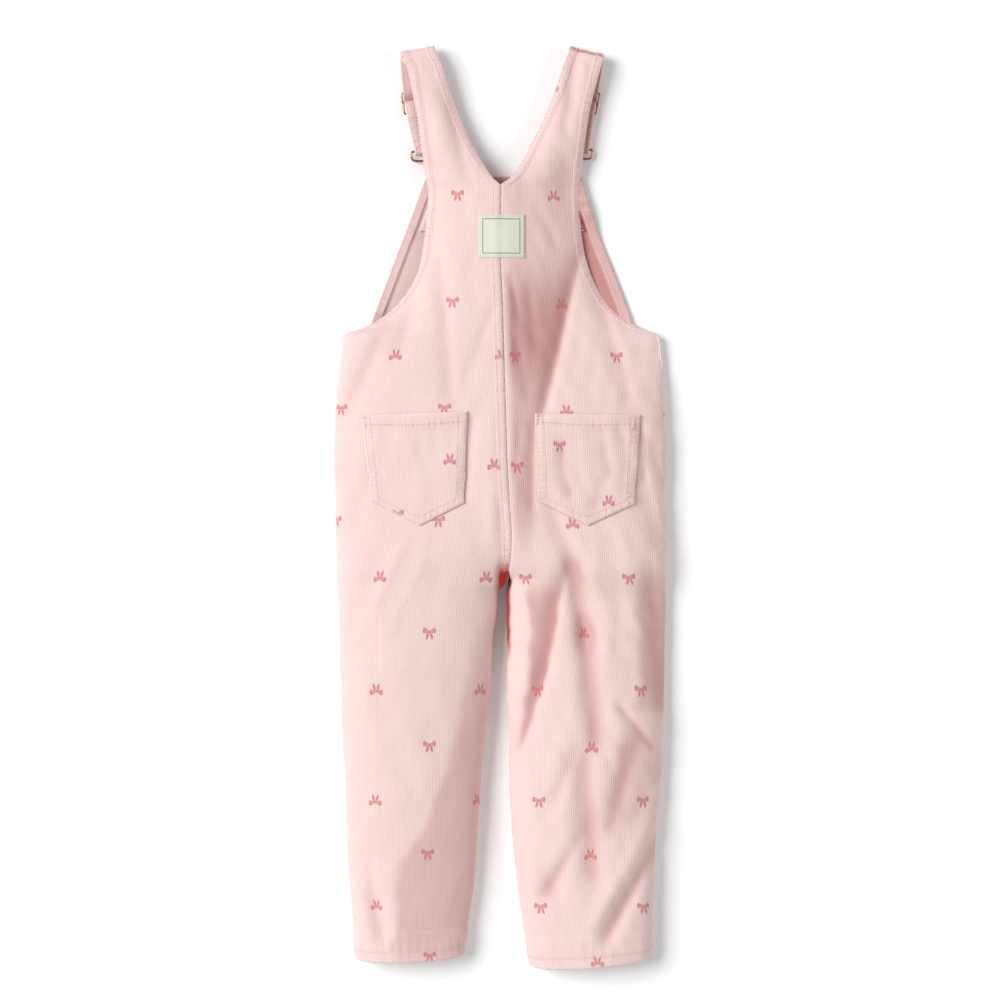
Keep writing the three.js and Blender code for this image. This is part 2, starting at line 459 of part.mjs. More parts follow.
function solidGeometry(positions, faces) {
  const geometry = new THREE.BufferGeometry();
  geometry.setAttribute('position', new THREE.Float32BufferAttribute(positions, 3));
  geometry.setIndex(faces);
  geometry.computeVertexNormals();
  return geometry;
}

function backGrid(sections, strap, side) {
  const rows = denseRows(panelRows(sections, strap, side), ROW_PITCH);
  const columns = rows.map((row) => sectionColumns(row));
  return { rows, columns, grid: columns.map((line) => line.map((column) => column.point)) };
}

// Back panel with its strap, cut in one
function backPanel({ rows, columns, grid }, side) {
  const hem = rows[rows.length - 1].s;
  const last = grid[0].length - 1;
  const half = (i, j) => {
    const row = rows[i];
    const column = columns[i][j];
    const free = !row.flat && row.yo > WAIST_Y;
    const felled = row.yi > NECK_Y || (side < 0 && row.yi > CROTCH_Y);
    const turned =
      (free && column.fromOuter < EDGE_TURN + SEAM_GAP) ||
      (!row.flat && felled && column.fromInner < EDGE_TURN + SEAM_GAP) ||
      hem - row.s < LEG_HEM;
    return { out: BACK_WALL / 2 + (turned ? HEM_BAND : 0), in: BACK_WALL / 2 };
  };
  const edgeNormal = (i, j, normal) => {
    const row = rows[i];
    if (row.flat) return null;
    const sideSeam = j === 0 && row.ao < -STEEP && row.yo < WAIST_Y + EDGE_TURN;
    const legSeam = j === last && row.ai > STEEP;
    if (sideSeam || legSeam) return new THREE.Vector3(normal.x, normal.y, 0).normalize();
    const centreSeam = j === last && row.yi < NECK_Y + 1 && row.ai <= STEEP;
    if (centreSeam) return new THREE.Vector3(0, 0, 1);
    return null;
  };
  return wallFromGrid(grid, -side, half, edgeNormal);
}

// Leg front: lies on the surface and turns up to its seams
const FRONT_CURL = 10.0;
const FRONT_TURNS = [90, 62, 34, 8];
const FRONT_MIDDLE = [0.36, 0.64];
const FRONT_SPLIT_Y = -56.0; // below it the two leg fronts part
const FRONT_RISE = { from: -42, over: 22 }; // where the inner edge turns up to the inside-leg seam

function legFront(sections, side) {
  const below = sections.filter((row) => row.yi < WAIST_Y + 3);
  const y = below.map((row) => -row.yi);
  const outer = curveThrough(y, below.map((row) => row.xo));
  const outerY = curveThrough(y, below.map((row) => row.yo - row.yi));
  const sag = curveThrough(y, below.map((row) => row.sag));
  const legs = below.filter((row) => row.yi < CROTCH_Y);
  const inner = curveThrough(legs.map((row) => -row.yi), legs.map((row) => row.xi));
  const top = WAIST_Y - SEAM_GAP / 2;
  const levels = [top, ...below.slice(1).map((row) => row.yi)];
  const grid = [];
  for (const level of levels) {
    const rise = smooth((FRONT_RISE.from - level) / FRONT_RISE.over);
    const legX = inner(-Math.min(level, CROTCH_Y - 0.2));
    const joined = seamX(Math.max(level, FRONT_SPLIT_Y + 2)) + (side * SEAM_GAP) / 2;
    const xi = lerp(joined, legX, smooth((FRONT_SPLIT_Y + 4 - level) / 9));
    const xo = outer(-level);
    const yo = level === top ? level : level + outerY(-level);
    const turnUp = SIDE_SEAM_Z - SEAM_GAP - FRONT_WALL / 2;
    const line = [];
    const place = (share, z) => {
      const hang = sag(-level) * Math.sqrt(Math.max(0, 1 - (2 * share - 1) ** 2));
      line.push(new THREE.Vector3(lerp(xo, xi, share), lerp(yo, level, share) - hang, z));
    };
    const width = Math.abs(xi - xo);
    for (const turn of FRONT_TURNS) {
      const z = FRONT_WALL / 2 + turnUp * (1 - Math.cos(rad(turn)));
      place((FRONT_CURL * (1 - Math.sin(rad(turn)))) / width, z);
    }
    for (const share of FRONT_MIDDLE) place(share, FRONT_WALL / 2);
    for (const turn of [...FRONT_TURNS].reverse()) {
      const z = FRONT_WALL / 2 + rise * turnUp * (1 - Math.cos(rad(turn)));
      place(1 - (FRONT_CURL * (1 - Math.sin(rad(turn)))) / width, z);
    }
    grid.push(line);
  }
  const last = grid[0].length - 1;
  const half = () => ({ out: FRONT_WALL / 2, in: FRONT_WALL / 2 });
  const edgeNormal = (i, j, normal) => {
    if (j === last && levels[i] > FRONT_SPLIT_Y) return new THREE.Vector3(0, 0, 1);
    if (j === 0 || j === last) return new THREE.Vector3(normal.x, normal.y, 0).normalize();
    return j > 3 && j < last - 3 ? new THREE.Vector3(0, 0, 1) : null;
  };
  return wallFromGrid(grid, -side, half, edgeNormal);
}

const BIB_RISE = { from: 203, over: 36 };

// Bib: rises at its top over the buckles, and its lower corners turn up to the side seams
function bibLift(y) {
  return BIB_LIFT * smooth((y - BIB_RISE.from) / BIB_RISE.over);
}

function bibSurface() {
  const rows = [...BIB_SECTIONS].reverse();
  const y = rows.map((row) => row.y);
  const left = curveThrough(y, rows.map((row) => row.left));
  const right = curveThrough(y, rows.map((row) => row.right));
  const curl = curveThrough(y, rows.map((row) => row.curl));
  return (level, inset, share) => {
    const x = lerp(left(level) + inset, right(level) - inset, share);
    const near = Math.min(x - left(level), right(level) - x);
    const turned = curl(level) * clamp01(1 - near / FRONT_CURL) ** 2;
    return new THREE.Vector3(x, level, FRONT_WALL / 2 + bibLift(level) + turned);
  };
}

const BIB_COLUMNS = [0, 0.02, 0.045, 0.075, 0.2, 0.35, 0.5, 0.65, 0.8, 0.925, 0.955, 0.98, 1];

function bib() {
  const surface = bibSurface();
  const grid = BIB_SECTIONS.map((row) => BIB_COLUMNS.map((share) => surface(row.y, 0, share)));
  const last = BIB_COLUMNS.length - 1;
  const half = (i, j) => {
    const width = BIB_SECTIONS[i].right - BIB_SECTIONS[i].left;
    const strip = Math.min(BIB_COLUMNS[j], 1 - BIB_COLUMNS[j]) * width;
    const turned = strip < BIB_STRIP && i < BIB_SECTIONS.length - 1;
    return { out: FRONT_WALL / 2 + (turned ? HEM_BAND : 0), in: FRONT_WALL / 2 };
  };
  const edgeNormal = (i, j) => {
    const seam = i === grid.length - 1;
    return seam || (j > 3 && j < last - 3) ? new THREE.Vector3(0, 0, 1) : null;
  };
  return wallFromGrid(grid, 1, half, edgeNormal);
}

// Facing on the bib's inner side, made from the bib's own points
function bibFacing() {
  const surface = bibSurface();
  const levels = BIB_SECTIONS.map((row) => row.y).filter((y) => y > BIB_FACING_END);
  levels[0] -= BIB_WALL_STEP;
  levels.push(BIB_FACING_END);
  const inset = BIB_STRIP + 2 * TRIM_WALL;
  const grid = levels.map((level) => FACING_COLUMNS.map((share) => surface(level, inset, share)));
  const under = FRONT_WALL / 2 + SEAM_GAP;
  const half = () => ({ out: under + TRIM_WALL, in: -under });
  return wallFromGrid(grid, 1, half, () => new THREE.Vector3(0, 0, 1));
}

// Height of a faceted wall's middle at a place in plan, or null beside it
function facetHeight(grids) {
  const triangles = [];
  for (const grid of grids) {
    for (let i = 0; i < grid.length - 1; i++) {
      for (let j = 0; j < grid[0].length - 1; j++) {
        triangles.push([grid[i][j], grid[i + 1][j], grid[i + 1][j + 1]]);
        triangles.push([grid[i][j], grid[i + 1][j + 1], grid[i][j + 1]]);
      }
    }
  }
  return (x, y) => {
    let height = null;
    for (const [a, b, c] of triangles) {
      const area = (b.x - a.x) * (c.y - a.y) - (c.x - a.x) * (b.y - a.y);
      const u = ((b.x - x) * (c.y - y) - (c.x - x) * (b.y - y)) / area;
      const v = ((c.x - x) * (a.y - y) - (a.x - x) * (c.y - y)) / area;
      if (u < 0 || v < 0 || u + v > 1) continue;
      const z = u * a.z + v * b.z + (1 - u - v) * c.z;
      height = Math.max(height ?? -Infinity, z);
    }
    return height;
  };
}

// Raises a grid until it lies on the facets everywhere, not only at its own points
const DRAPE_STEPS = 4;

function restOn(grid, height) {
  for (const p of grid.flat()) p.z = height(p.x, p.y) ?? 0;
  for (let pass = 0; pass < 3; pass++) {
    for (let i = 0; i < grid.length - 1; i++) {
      for (let j = 0; j < grid[0].length - 1; j++) {
        const cell = [grid[i][j], grid[i + 1][j], grid[i][j + 1], grid[i + 1][j + 1]];
        let lift = 0;
        for (let a = 0; a <= DRAPE_STEPS; a++) {
          for (let b = 0; b <= DRAPE_STEPS; b++) {
            const down = cell[0].clone().lerp(cell[1], a / DRAPE_STEPS);
            const here = down.lerp(cell[2].clone().lerp(cell[3], a / DRAPE_STEPS), b / DRAPE_STEPS);
            const under = height(here.x, here.y);
            if (under !== null) lift = Math.max(lift, under - here.z);
          }
        }
        for (const corner of cell) corner.z += lift;
      }
    }
  }
  return grid;
}

// Patch pocket on a back panel, made from the panel's points and moved out
const POCKET_COLUMNS = [0, 0.085, 0.2, 0.36, 0.52, 0.68, 0.82, 0.915, 1];
const POCKET_LEVELS = [0, 0.1, 0.12, 0.3, 0.48, 0.66, 0.84, 1];

function pocket(corners, height, side) {
  const edgeAt = (u) => {
    const top = [lerp(corners.topOut[0], corners.topIn[0], u), lerp(corners.topOut[1], corners.topIn[1], u)];
    const outerHalf = (corners.point[0] - corners.lowOut[0]) / (corners.lowIn[0] - corners.lowOut[0]);
    const low =
      u < outerHalf
        ? lerp(corners.lowOut[1], corners.point[1], u / outerHalf)
        : lerp(corners.point[1], corners.lowIn[1], (u - outerHalf) / (1 - outerHalf));
    return { top, low: [lerp(corners.lowOut[0], corners.lowIn[0], u), low] };
  };
  const grid = POCKET_LEVELS.map((v) =>
    POCKET_COLUMNS.map((u) => {
      const edge = edgeAt(u);
      return new THREE.Vector3(lerp(edge.top[0], edge.low[0], v), lerp(edge.top[1], edge.low[1], v), 0);
    })
  );
  restOn(grid, height);
  const under = BACK_WALL / 2 + POCKET_LIFT;
  const half = (i, j) => {
    const turned = i < 2 || j === 0 || j === POCKET_COLUMNS.length - 1;
    return { out: under + POCKET_WALL + (turned ? HEM_BAND : 0), in: -under };
  };
  return wallFromGrid(grid, -side, half);
}

// Woven label over the centre seam
function label(height) {
  const grid = LABEL_ROWS.map((v) =>
    LABEL_COLUMNS.map((u) => new THREE.Vector3(lerp(LABEL.x0, LABEL.x1, u), lerp(LABEL.y1, LABEL.y0, v), 0))
  );
  restOn(grid, height);
  const under = BACK_WALL / 2 + HEM_BAND + SEAM_GAP;
  const half = () => ({ out: under + TRIM_WALL, in: -under });
  return wallFromGrid(grid, 1, half, () => new THREE.Vector3(0, 0, 1));
}

// A closed wire of round section along a flat closed path
function wireLoop(path, radius, sides = 8) {
  const n = path.length;
  const positions = [];
  const faces = [];
  for (let i = 0; i < n; i++) {
    const before = path[(i + n - 1) % n];
    const after = path[(i + 1) % n];
    const toHere = path[i].clone().sub(before).normalize();
    const fromHere = after.clone().sub(path[i]).normalize();
    const tangent = toHere.clone().add(fromHere).normalize();
    const side = new THREE.Vector2(tangent.y, -tangent.x);
    const mitre = 1 / Math.max(0.5, tangent.dot(fromHere));
    for (let k = 0; k < sides; k++) {
      const a = (2 * Math.PI * (k + 0.5)) / sides;
      const reach = radius * Math.cos(a) * mitre;
      positions.push(path[i].x + side.x * reach, path[i].y + side.y * reach, radius * Math.sin(a));
      const next = ((i + 1) % n) * sides;
      const here = i * sides;
      const k1 = (k + 1) % sides;
      faces.push(here + k, next + k, next + k1, here + k, next + k1, here + k1);
    }
  }
  return solidGeometry(positions, faces);
}

function facedOut(geometry) {
  const p = geometry.getAttribute('position');
  const index = Array.from(geometry.index.array);
  const at = (k) => new THREE.Vector3().fromBufferAttribute(p, k);
  let volume = 0;
  for (let i = 0; i < index.length; i += 3) {
    volume += at(index[i]).dot(at(index[i + 1]).cross(at(index[i + 2])));
  }
  if (volume < 0) geometry.setIndex(index.reverse());
  geometry.computeVertexNormals();
  return geometry;
}

function roundedBox(halfWidth, halfHeight, radius, centreY) {
  const path = [];
  const corners = [[1, 1, 0], [-1, 1, 90], [-1, -1, 180], [1, -1, 270]];
  for (const [sx, sy, start] of corners) {
    for (const turn of [0, 45, 90]) {
      const a = rad(start + turn);
      const cx = sx * (halfWidth - radius);
      const cy = centreY + sy * (halfHeight - radius);
      path.push(new THREE.Vector2(cx + radius * Math.cos(a), cy + radius * Math.sin(a)));
    }
  }
  return path;
}

function asManifold(geometry) {
  const bare = geometry.clone();
  bare.deleteAttribute('normal');
  const merged = mergeVertices(bare, 1e-4);
  const mesh = new wasm.Mesh({
    numProp: 3,
    vertProperties: new Float32Array(merged.getAttribute('position').array),
    triVerts: new Uint32Array(merged.index.array),
  });
  return new wasm.Manifold(mesh);
}

function fromManifold(solid) {
  const mesh = solid.getMesh();
  return solidGeometry(Array.from(mesh.vertProperties), Array.from(mesh.triVerts));
}

// Wire slide: two loops that share the middle bar
function slide() {
  const half = STRAP_WIDTH / 2 + 0.6 + WIRE;
  const loops = [0.5, -0.5].map((k) => roundedBox(half, SLIDE_PITCH / 2, 2.2, k * SLIDE_PITCH));
  const [upper, lower] = loops.map((path) => asManifold(facedOut(wireLoop(path, WIRE))));
  return fromManifold(upper.add(lower));
}

// Wire buckle: bar, shoulders, neck and the ring that the button holds
function buckle() {
  const b = BUCKLE;
  const right = [
    [b.half - 1.6, 0],
    [b.half - 0.5, -0.5],
    [b.half, -1.8],
    [b.half, -b.side + 1],
    [b.half - 1.2, -b.side - 0.6],
    [b.shoulder, -b.shoulderAt],
    [lerp(b.shoulder, b.neck, 0.55), -lerp(b.shoulderAt, b.neckAt, 0.42)],
    [b.neck + 0.5, -b.neckAt + 2],
    [b.neck, -b.neckAt],
  ];
  const path = right.map(([x, y]) => new THREE.Vector2(x, y));
  for (const turn of [42, 10, -22, -56, -90]) {
    path.push(new THREE.Vector2(b.ring * Math.cos(rad(turn)), -b.eye + b.ring * Math.sin(rad(turn))));
  }
  const mirrored = path.slice(0, -1).map((p) => new THREE.Vector2(-p.x, p.y)).reverse();
  return facedOut(wireLoop([...path, ...mirrored], BUCKLE_WIRE));
}

// Metal button: its head is under the buckle's ring and its shank reaches the bib
function button() {
  const top = BIB_LIFT - SEAM_GAP;
  const profile = [
    [0, 0.1],
    [BUTTON.head - 1.2, 0.1],
    [BUTTON.head, 0.6],
    [BUTTON.head, BUTTON.headHeight - 0.3],
    [BUTTON.head - 1.0, BUTTON.headHeight],
    [BUTTON.shank, BUTTON.headHeight],
    [BUTTON.shank, top],
    [0, top],
  ].map(([r, z]) => new THREE.Vector2(r, z));
  const geometry = new THREE.LatheGeometry(profile, 16);
  geometry.rotateX(Math.PI / 2);
  geometry.deleteAttribute('normal');
  geometry.deleteAttribute('uv');
  return facedOut(mergeVertices(geometry, 1e-4));
}

const group = new THREE.Group();

function addPart(name, geometry, looks, place = null) {
  const mesh = new THREE.Mesh(geometry, new THREE.MeshStandardMaterial(looks));
  mesh.name = name;
  if (place) {
    mesh.position.set(place.x, place.y, place.z);
    mesh.rotation.z = place.turn ?? 0;
  }
  group.add(mesh);
  return mesh;
}

// A place on the strap's centre line, turned with the strap
function onStrap(strap, at, z) {
  const row = strapRow(strap, at, z);
  const turn = Math.atan((row.yi - row.yo) / (row.xi - row.xo));
  return { x: (row.xo + row.xi) / 2, y: (row.yo + row.yi) / 2, z, turn };
}

const SIDES = [
  { name: 'left', side: -1, sections: LEFT_SECTIONS, strap: LEFT_STRAP, corners: LEFT_POCKET },
  { name: 'right', side: 1, sections: RIGHT_SECTIONS, strap: RIGHT_STRAP, corners: RIGHT_POCKET },
];

const backs = SIDES.map((s) => backGrid(s.sections, s.strap, s.side));
const heights = backs.map((back) => facetHeight([back.grid.filter((_, i) => !back.rows[i].flat)]));

SIDES.forEach((s, k) => {
  addPart(`back_${s.name}`, backPanel(backs[k], s.side), CLOTH);
  addPart(`pocket_${s.name}`, pocket(s.corners, heights[k], s.side), CLOTH);
  addPart(`front_${s.name}`, legFront(s.sections, s.side), CLOTH);
  addPart(`slide_${s.name}`, slide(), COPPER, onStrap(s.strap, SLIDE_AT, WIRE_Z));
  const bar = onStrap(s.strap, BUCKLE_AT, WIRE_Z);
  addPart(`buckle_${s.name}`, buckle(), COPPER, bar);
  const eye = {
    x: bar.x + BUCKLE.eye * Math.sin(bar.turn),
    y: bar.y - BUCKLE.eye * Math.cos(bar.turn),
    z: 0,
  };
  addPart(`button_${s.name}`, button(), COPPER, eye);
});
addPart('bib', bib(), CLOTH);
addPart('bib_facing', bibFacing(), CLOTH);
const centre = (x, y) => Math.max(heights[0](x, y) ?? 0, heights[1](x, y) ?? 0);
addPart('label', label(centre), CREAM);

export default group;
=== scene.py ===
"""Toddler overalls in fine-wale corduroy with a small bow print.

They lie flat on their front with the back up, so the camera looks straight down on the back.
Lengths in this file are millimetres in the garment's frame: +X to the wearer's right, +Y to
the shoulders, +Z up from the floor. Meshes are written in metres.
"""

from __future__ import annotations

import logging
import math
from dataclasses import dataclass, field
from enum import Enum
from typing import Callable, NamedTuple, Sequence

import bpy
import numpy as np
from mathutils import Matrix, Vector
from mathutils.bvhtree import BVHTree


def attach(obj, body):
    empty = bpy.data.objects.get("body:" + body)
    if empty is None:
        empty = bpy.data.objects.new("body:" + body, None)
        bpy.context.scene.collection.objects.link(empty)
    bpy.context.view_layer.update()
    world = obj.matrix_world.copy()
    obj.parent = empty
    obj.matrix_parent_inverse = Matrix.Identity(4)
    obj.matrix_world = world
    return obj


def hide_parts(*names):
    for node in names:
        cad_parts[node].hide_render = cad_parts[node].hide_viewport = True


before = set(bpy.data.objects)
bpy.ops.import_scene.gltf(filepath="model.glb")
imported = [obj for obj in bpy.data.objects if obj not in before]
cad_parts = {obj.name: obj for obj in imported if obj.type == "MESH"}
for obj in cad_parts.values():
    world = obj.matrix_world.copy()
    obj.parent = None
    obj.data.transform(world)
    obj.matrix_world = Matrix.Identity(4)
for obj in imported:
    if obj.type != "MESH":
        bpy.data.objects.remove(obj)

LOG = logging.getLogger("overalls")
METRE = 0.001
Colour = tuple[float, float, float, float]
Rows = list[tuple[np.ndarray, np.ndarray]]

# Cloth
BACK_WALL = 1.6
FRONT_WALL = 1.5
TRIM_WALL = 1.1
POCKET_WALL = 1.3
SEAM_GAP = 0.3
SIDE_SEAM_Z = 7.0
HEM_BAND = 0.6
EDGE_TURN = 7.0
LEG_HEM = 20.0
HEM_STITCH = 7.0
DOME_POWER = 0.8
STRAP_WIDTH = 28.0
FOLD_RADIUS = 4.6
FOLD_Z = 8.1
WIRE_Z = 3.0
SLIDE_PITCH = 8.5
SLIDE_SLACK = 0.6
SLIDE_CORNERS = ((1, 1, 0), (-1, 1, 90), (-1, -1, 180), (1, -1, 270))
SLIDE_AT = 39.0
BUCKLE_AT = 77.0
BIB_LIFT = 4.4
WAIST_Y = 133.0
NECK_Y = 250.0
CROTCH_Y = -60.0
FOLD_TURNS = (-62, -25, 15, 55)
STITCH_ROWS = (1.4, 5.8)

# Print and pile
WALE_PITCH = 1.77
BOW_COLUMN = 41.6
BOW_ROW = 85.7
BOW_START = 160.5


class Side(Enum):
    """Which half of the garment a piece belongs to, seen from the back."""

    LEFT = -1
    RIGHT = 1

    @property
    def word(self) -> str:
        """Name of the side in piece names."""
        return self.name.lower()


class Hold(Enum):
    """How a sheet of cloth is held."""

    LAID = "laid"


class Section(NamedTuple):
    """One section of a back panel, from its outer point to its inner point."""

    xo: float
    yo: float
    xi: float | None
    yi: float
    edge: float
    crown: float
    ao: float
    ai: float
    sag: float


class Fold(NamedTuple):
    """A trough along a line in plan, drawn downwards; a ridge has a negative depth.

    width is the reach of its left flank, and right that of its right one if it differs.
    """

    x0: float
    y0: float
    x1: float
    y1: float
    width: float
    depth: float
    right: float = 0.0


class Run(NamedTuple):
    """A place on the strap's front run: distance from the shoulder fold and height."""

    at: float
    z: float


class Level(NamedTuple):
    """One level of the bib."""

    y: float
    left: float
    right: float
    curl: float


# Centre-back seam: level, x
CENTRE_SEAM = (
    (-54, 7.3), (-40, 9.2), (-26, 9.3), (5, 7.3), (37, 5.6),
    (68, 4.7), (115, 3.1), (162, 1.6), (201, 0.2), (250, 0.8),
)

# Columns: xo, yo, xi, yi, edge, crown, ao, ai, sag
LEFT_SECTIONS = [
    Section(-77.4, 350.0, -49.6, 355.4, 12.7, 13.4, -55, 55, 0),
    Section(-73.0, 344.2, -45.1, 345.6, 12.5, 14.4, -58, 58, 0),
    Section(-70.2, 333.0, -41.6, 333.4, 12.0, 15.0, -60, 60, 0),
    Section(-67.4, 319.1, -36.9, 319.1, 11.4, 15.6, -60, 60, 0),
    Section(-64.4, 303.4, -31.0, 303.4, 10.6, 17.0, -60, 58, 0),
    Section(-61.8, 285.3, -23.2, 285.3, 10.0, 18.5, -62, 52, 0),
    Section(-59.3, 268.1, -13.3, 268.1, 9.5, 20.0, -64, 40, 0),
    Section(-57.3, 256.3, -5.1, 256.0, 9.0, 21.4, -66, 22, 0),
    Section(-56.0, 247.7, None, 250.0, 9.0, 22.4, -67, 0, 0),
    Section(-56.7, 231.2, None, 231.2, 9.0, 23.6, -68, 0, 0),
    Section(-58.2, 215.5, None, 215.5, 8.6, 24.6, -70, 0, 0),
    Section(-60.0, 202.1, None, 201.3, 8.5, 25.5, -71, 0, 0),
    Section(-63.2, 186.0, None, 185.7, 8.2, 26.6, -73, 0, 0),
    Section(-68.5, 173.4, None, 174.7, 8.0, 27.4, -75, 0, 0),
    Section(-75.8, 162.6, None, 165.2, 7.8, 28.1, -77, 0, 0),
    Section(-84.8, 152.7, None, 157.4, 7.6, 28.8, -79, 0, 0),
    Section(-95.8, 144.5, None, 150.3, 7.4, 29.5, -82, 0, 0),
    Section(-108.3, 138.0, None, 142.9, 7.2, 30.1, -86, 0, 0),
    Section(-121.7, 132.9, None, 135.4, 7.0, 30.7, -90, 0, 0),
    Section(-123.2, 121.3, None, 122.9, 7.0, 31.5, -90, 0, 0),
    Section(-126.4, 96.2, None, 96.2, 7.0, 33.0, -90, 0, 0),
    Section(-128.7, 67.9, None, 67.9, 7.0, 34.0, -90, 0, 0),
    Section(-129.5, 36.5, None, 36.5, 7.0, 34.5, -90, 0, 0),
    Section(-128.0, 5.1, None, 5.1, 7.0, 34.5, -90, 2, 0),
    Section(-127.6, -26.3, None, -26.3, 7.0, 34.0, -90, 18, 0),
    Section(-127.0, -40.4, None, -40.4, 7.0, 33.6, -90, 42, 0),
    Section(-126.6, -52.2, None, -52.2, 7.0, 33.2, -90, 68, 0),
    Section(-126.3, -60.1, 3.6, -60.1, 7.0, 33.0, -90, 80, 0),
    Section(-126.0, -67.5, -2.4, -67.5, 7.0, 33.0, -90, 86, 0),
    Section(-125.4, -82.0, -3.2, -82.0, 7.0, 33.0, -90, 88, 0),
    Section(-124.8, -104.8, -6.3, -104.8, 7.0, 33.0, -90, 90, 0),
    Section(-124.0, -142.5, -7.9, -142.5, 7.0, 32.6, -90, 90, 0),
    Section(-122.5, -180.2, -12.4, -180.2, 7.0, 32.0, -90, 90, 0),
    Section(-120.1, -217.8, -15.7, -217.8, 7.0, 31.0, -90, 90, 0),
    Section(-119.3, -255.5, -18.1, -255.5, 7.0, 30.0, -90, 90, 0),
    Section(-117.0, -293.2, -20.6, -293.2, 7.0, 28.6, -90, 90, 0),
    Section(-114.0, -329.5, -25.7, -326.0, 7.0, 26.8, -90, 90, 2),
    Section(-112.3, -351.5, -28.6, -348.5, 7.0, 25.4, -90, 90, 6),
]

RIGHT_SECTIONS = [
    Section(80.4, 347.6, 52.6, 354.8, 12.7, 13.4, -55, 55, 0),
    Section(78.4, 341.6, 48.7, 344.0, 12.5, 14.4, -58, 58, 0),
    Section(75.8, 332.3, 45.3, 332.8, 12.0, 15.0, -60, 60, 0),
    Section(72.2, 319.1, 40.8, 319.1, 11.4, 15.6, -60, 60, 0),
    Section(68.8, 303.4, 34.5, 303.4, 10.6, 17.0, -60, 58, 0),
    Section(66.1, 285.3, 25.6, 285.3, 10.0, 18.5, -62, 52, 0),
    Section(64.1, 268.8, 16.6, 268.8, 9.5, 20.0, -64, 40, 0),
    Section(63.1, 256.3, 7.4, 256.0, 9.0, 21.4, -66, 22, 0),
    Section(62.9, 246.9, None, 250.0, 9.0, 22.4, -67, 0, 0),
    Section(63.0, 231.2, None, 231.2, 9.0, 23.6, -68, 0, 0),
    Section(63.4, 215.5, None, 215.5, 8.6, 24.6, -70, 0, 0),
    Section(65.5, 201.4, None, 201.3, 8.5, 25.5, -71, 0, 0),
    Section(69.1, 187.2, None, 185.7, 8.2, 26.6, -73, 0, 0),
    Section(74.6, 173.9, None, 174.7, 8.0, 27.4, -75, 0, 0),
    Section(81.6, 161.8, None, 165.2, 7.8, 28.1, -77, 0, 0),
    Section(89.5, 152.3, None, 157.4, 7.6, 28.8, -79, 0, 0),
    Section(98.3, 145.6, None, 150.3, 7.4, 29.5, -82, 0, 0),
    Section(110.2, 139.0, None, 142.9, 7.2, 30.1, -86, 0, 0),
    Section(124.0, 132.9, None, 135.4, 7.0, 30.7, -90, 0, 0),
    Section(125.6, 121.3, None, 122.9, 7.0, 31.5, -90, 0, 0),
    Section(127.6, 96.2, None, 96.2, 7.0, 33.0, -90, 0, 0),
    Section(128.3, 67.9, None, 67.9, 7.0, 34.0, -90, 0, 0),
    Section(130.0, 36.5, None, 36.5, 7.0, 34.5, -90, 0, 0),
    Section(128.7, 5.1, None, 5.1, 7.0, 34.5, -90, 0, 0),
    Section(130.0, -26.3, None, -26.3, 7.0, 34.0, -90, 12, 0),
    Section(129.8, -40.4, None, -40.4, 7.0, 33.6, -90, 32, 0),
    Section(129.6, -52.2, None, -52.2, 7.0, 33.2, -90, 62, 0),
    Section(129.5, -60.1, 6.6, -60.1, 7.0, 33.0, -90, 86, 0),
    Section(129.5, -67.5, 5.6, -67.5, 7.0, 33.0, -90, 90, 0),
    Section(129.3, -82.0, 5.8, -82.0, 7.0, 33.0, -90, 90, 0),
    Section(128.7, -104.8, 6.2, -104.8, 7.0, 33.0, -90, 90, 0),
    Section(128.0, -142.5, 6.3, -142.5, 7.0, 32.6, -90, 90, 0),
    Section(127.2, -180.2, 7.9, -180.2, 7.0, 32.0, -90, 90, 0),
    Section(125.6, -217.8, 8.2, -217.8, 7.0, 31.0, -90, 90, 0),
    Section(121.4, -255.5, 10.2, -255.5, 7.0, 30.0, -90, 90, 0),
    Section(120.1, -293.2, 14.1, -293.2, 7.0, 28.6, -90, 90, 0),
    Section(119.3, -325.0, 19.2, -329.0, 7.0, 26.8, -90, 90, 3),
    Section(117.6, -349.0, 24.0, -356.0, 7.0, 25.4, -90, 90, 8),
]

# Front run of the strap: over the slide's outer bars, under its middle one, round the
# buckle's bar and back to the middle bar
STRAP_RUN = [
    Run(5.0, 3.5), Run(20.0, 3.9),
    Run(SLIDE_AT - SLIDE_PITCH, 5.3), Run(SLIDE_AT - SLIDE_PITCH / 2, 3.0),
    Run(SLIDE_AT, 0.8), Run(SLIDE_AT + SLIDE_PITCH / 2, 3.0),
    Run(SLIDE_AT + SLIDE_PITCH, 5.3), Run(58.0, 1.9), Run(66.0, 0.9),
    Run(BUCKLE_AT, 0.8), Run(BUCKLE_AT + 1.6, 1.5), Run(BUCKLE_AT + 2.2, 3.0),
    Run(BUCKLE_AT + 1.6, 4.5), Run(BUCKLE_AT, 5.2), Run(66.0, 5.5), Run(55.0, 6.3),
    Run(SLIDE_AT + SLIDE_PITCH, 7.3), Run(SLIDE_AT + SLIDE_PITCH / 2, 6.8),
    Run(SLIDE_AT - 1.2, 5.3),
]

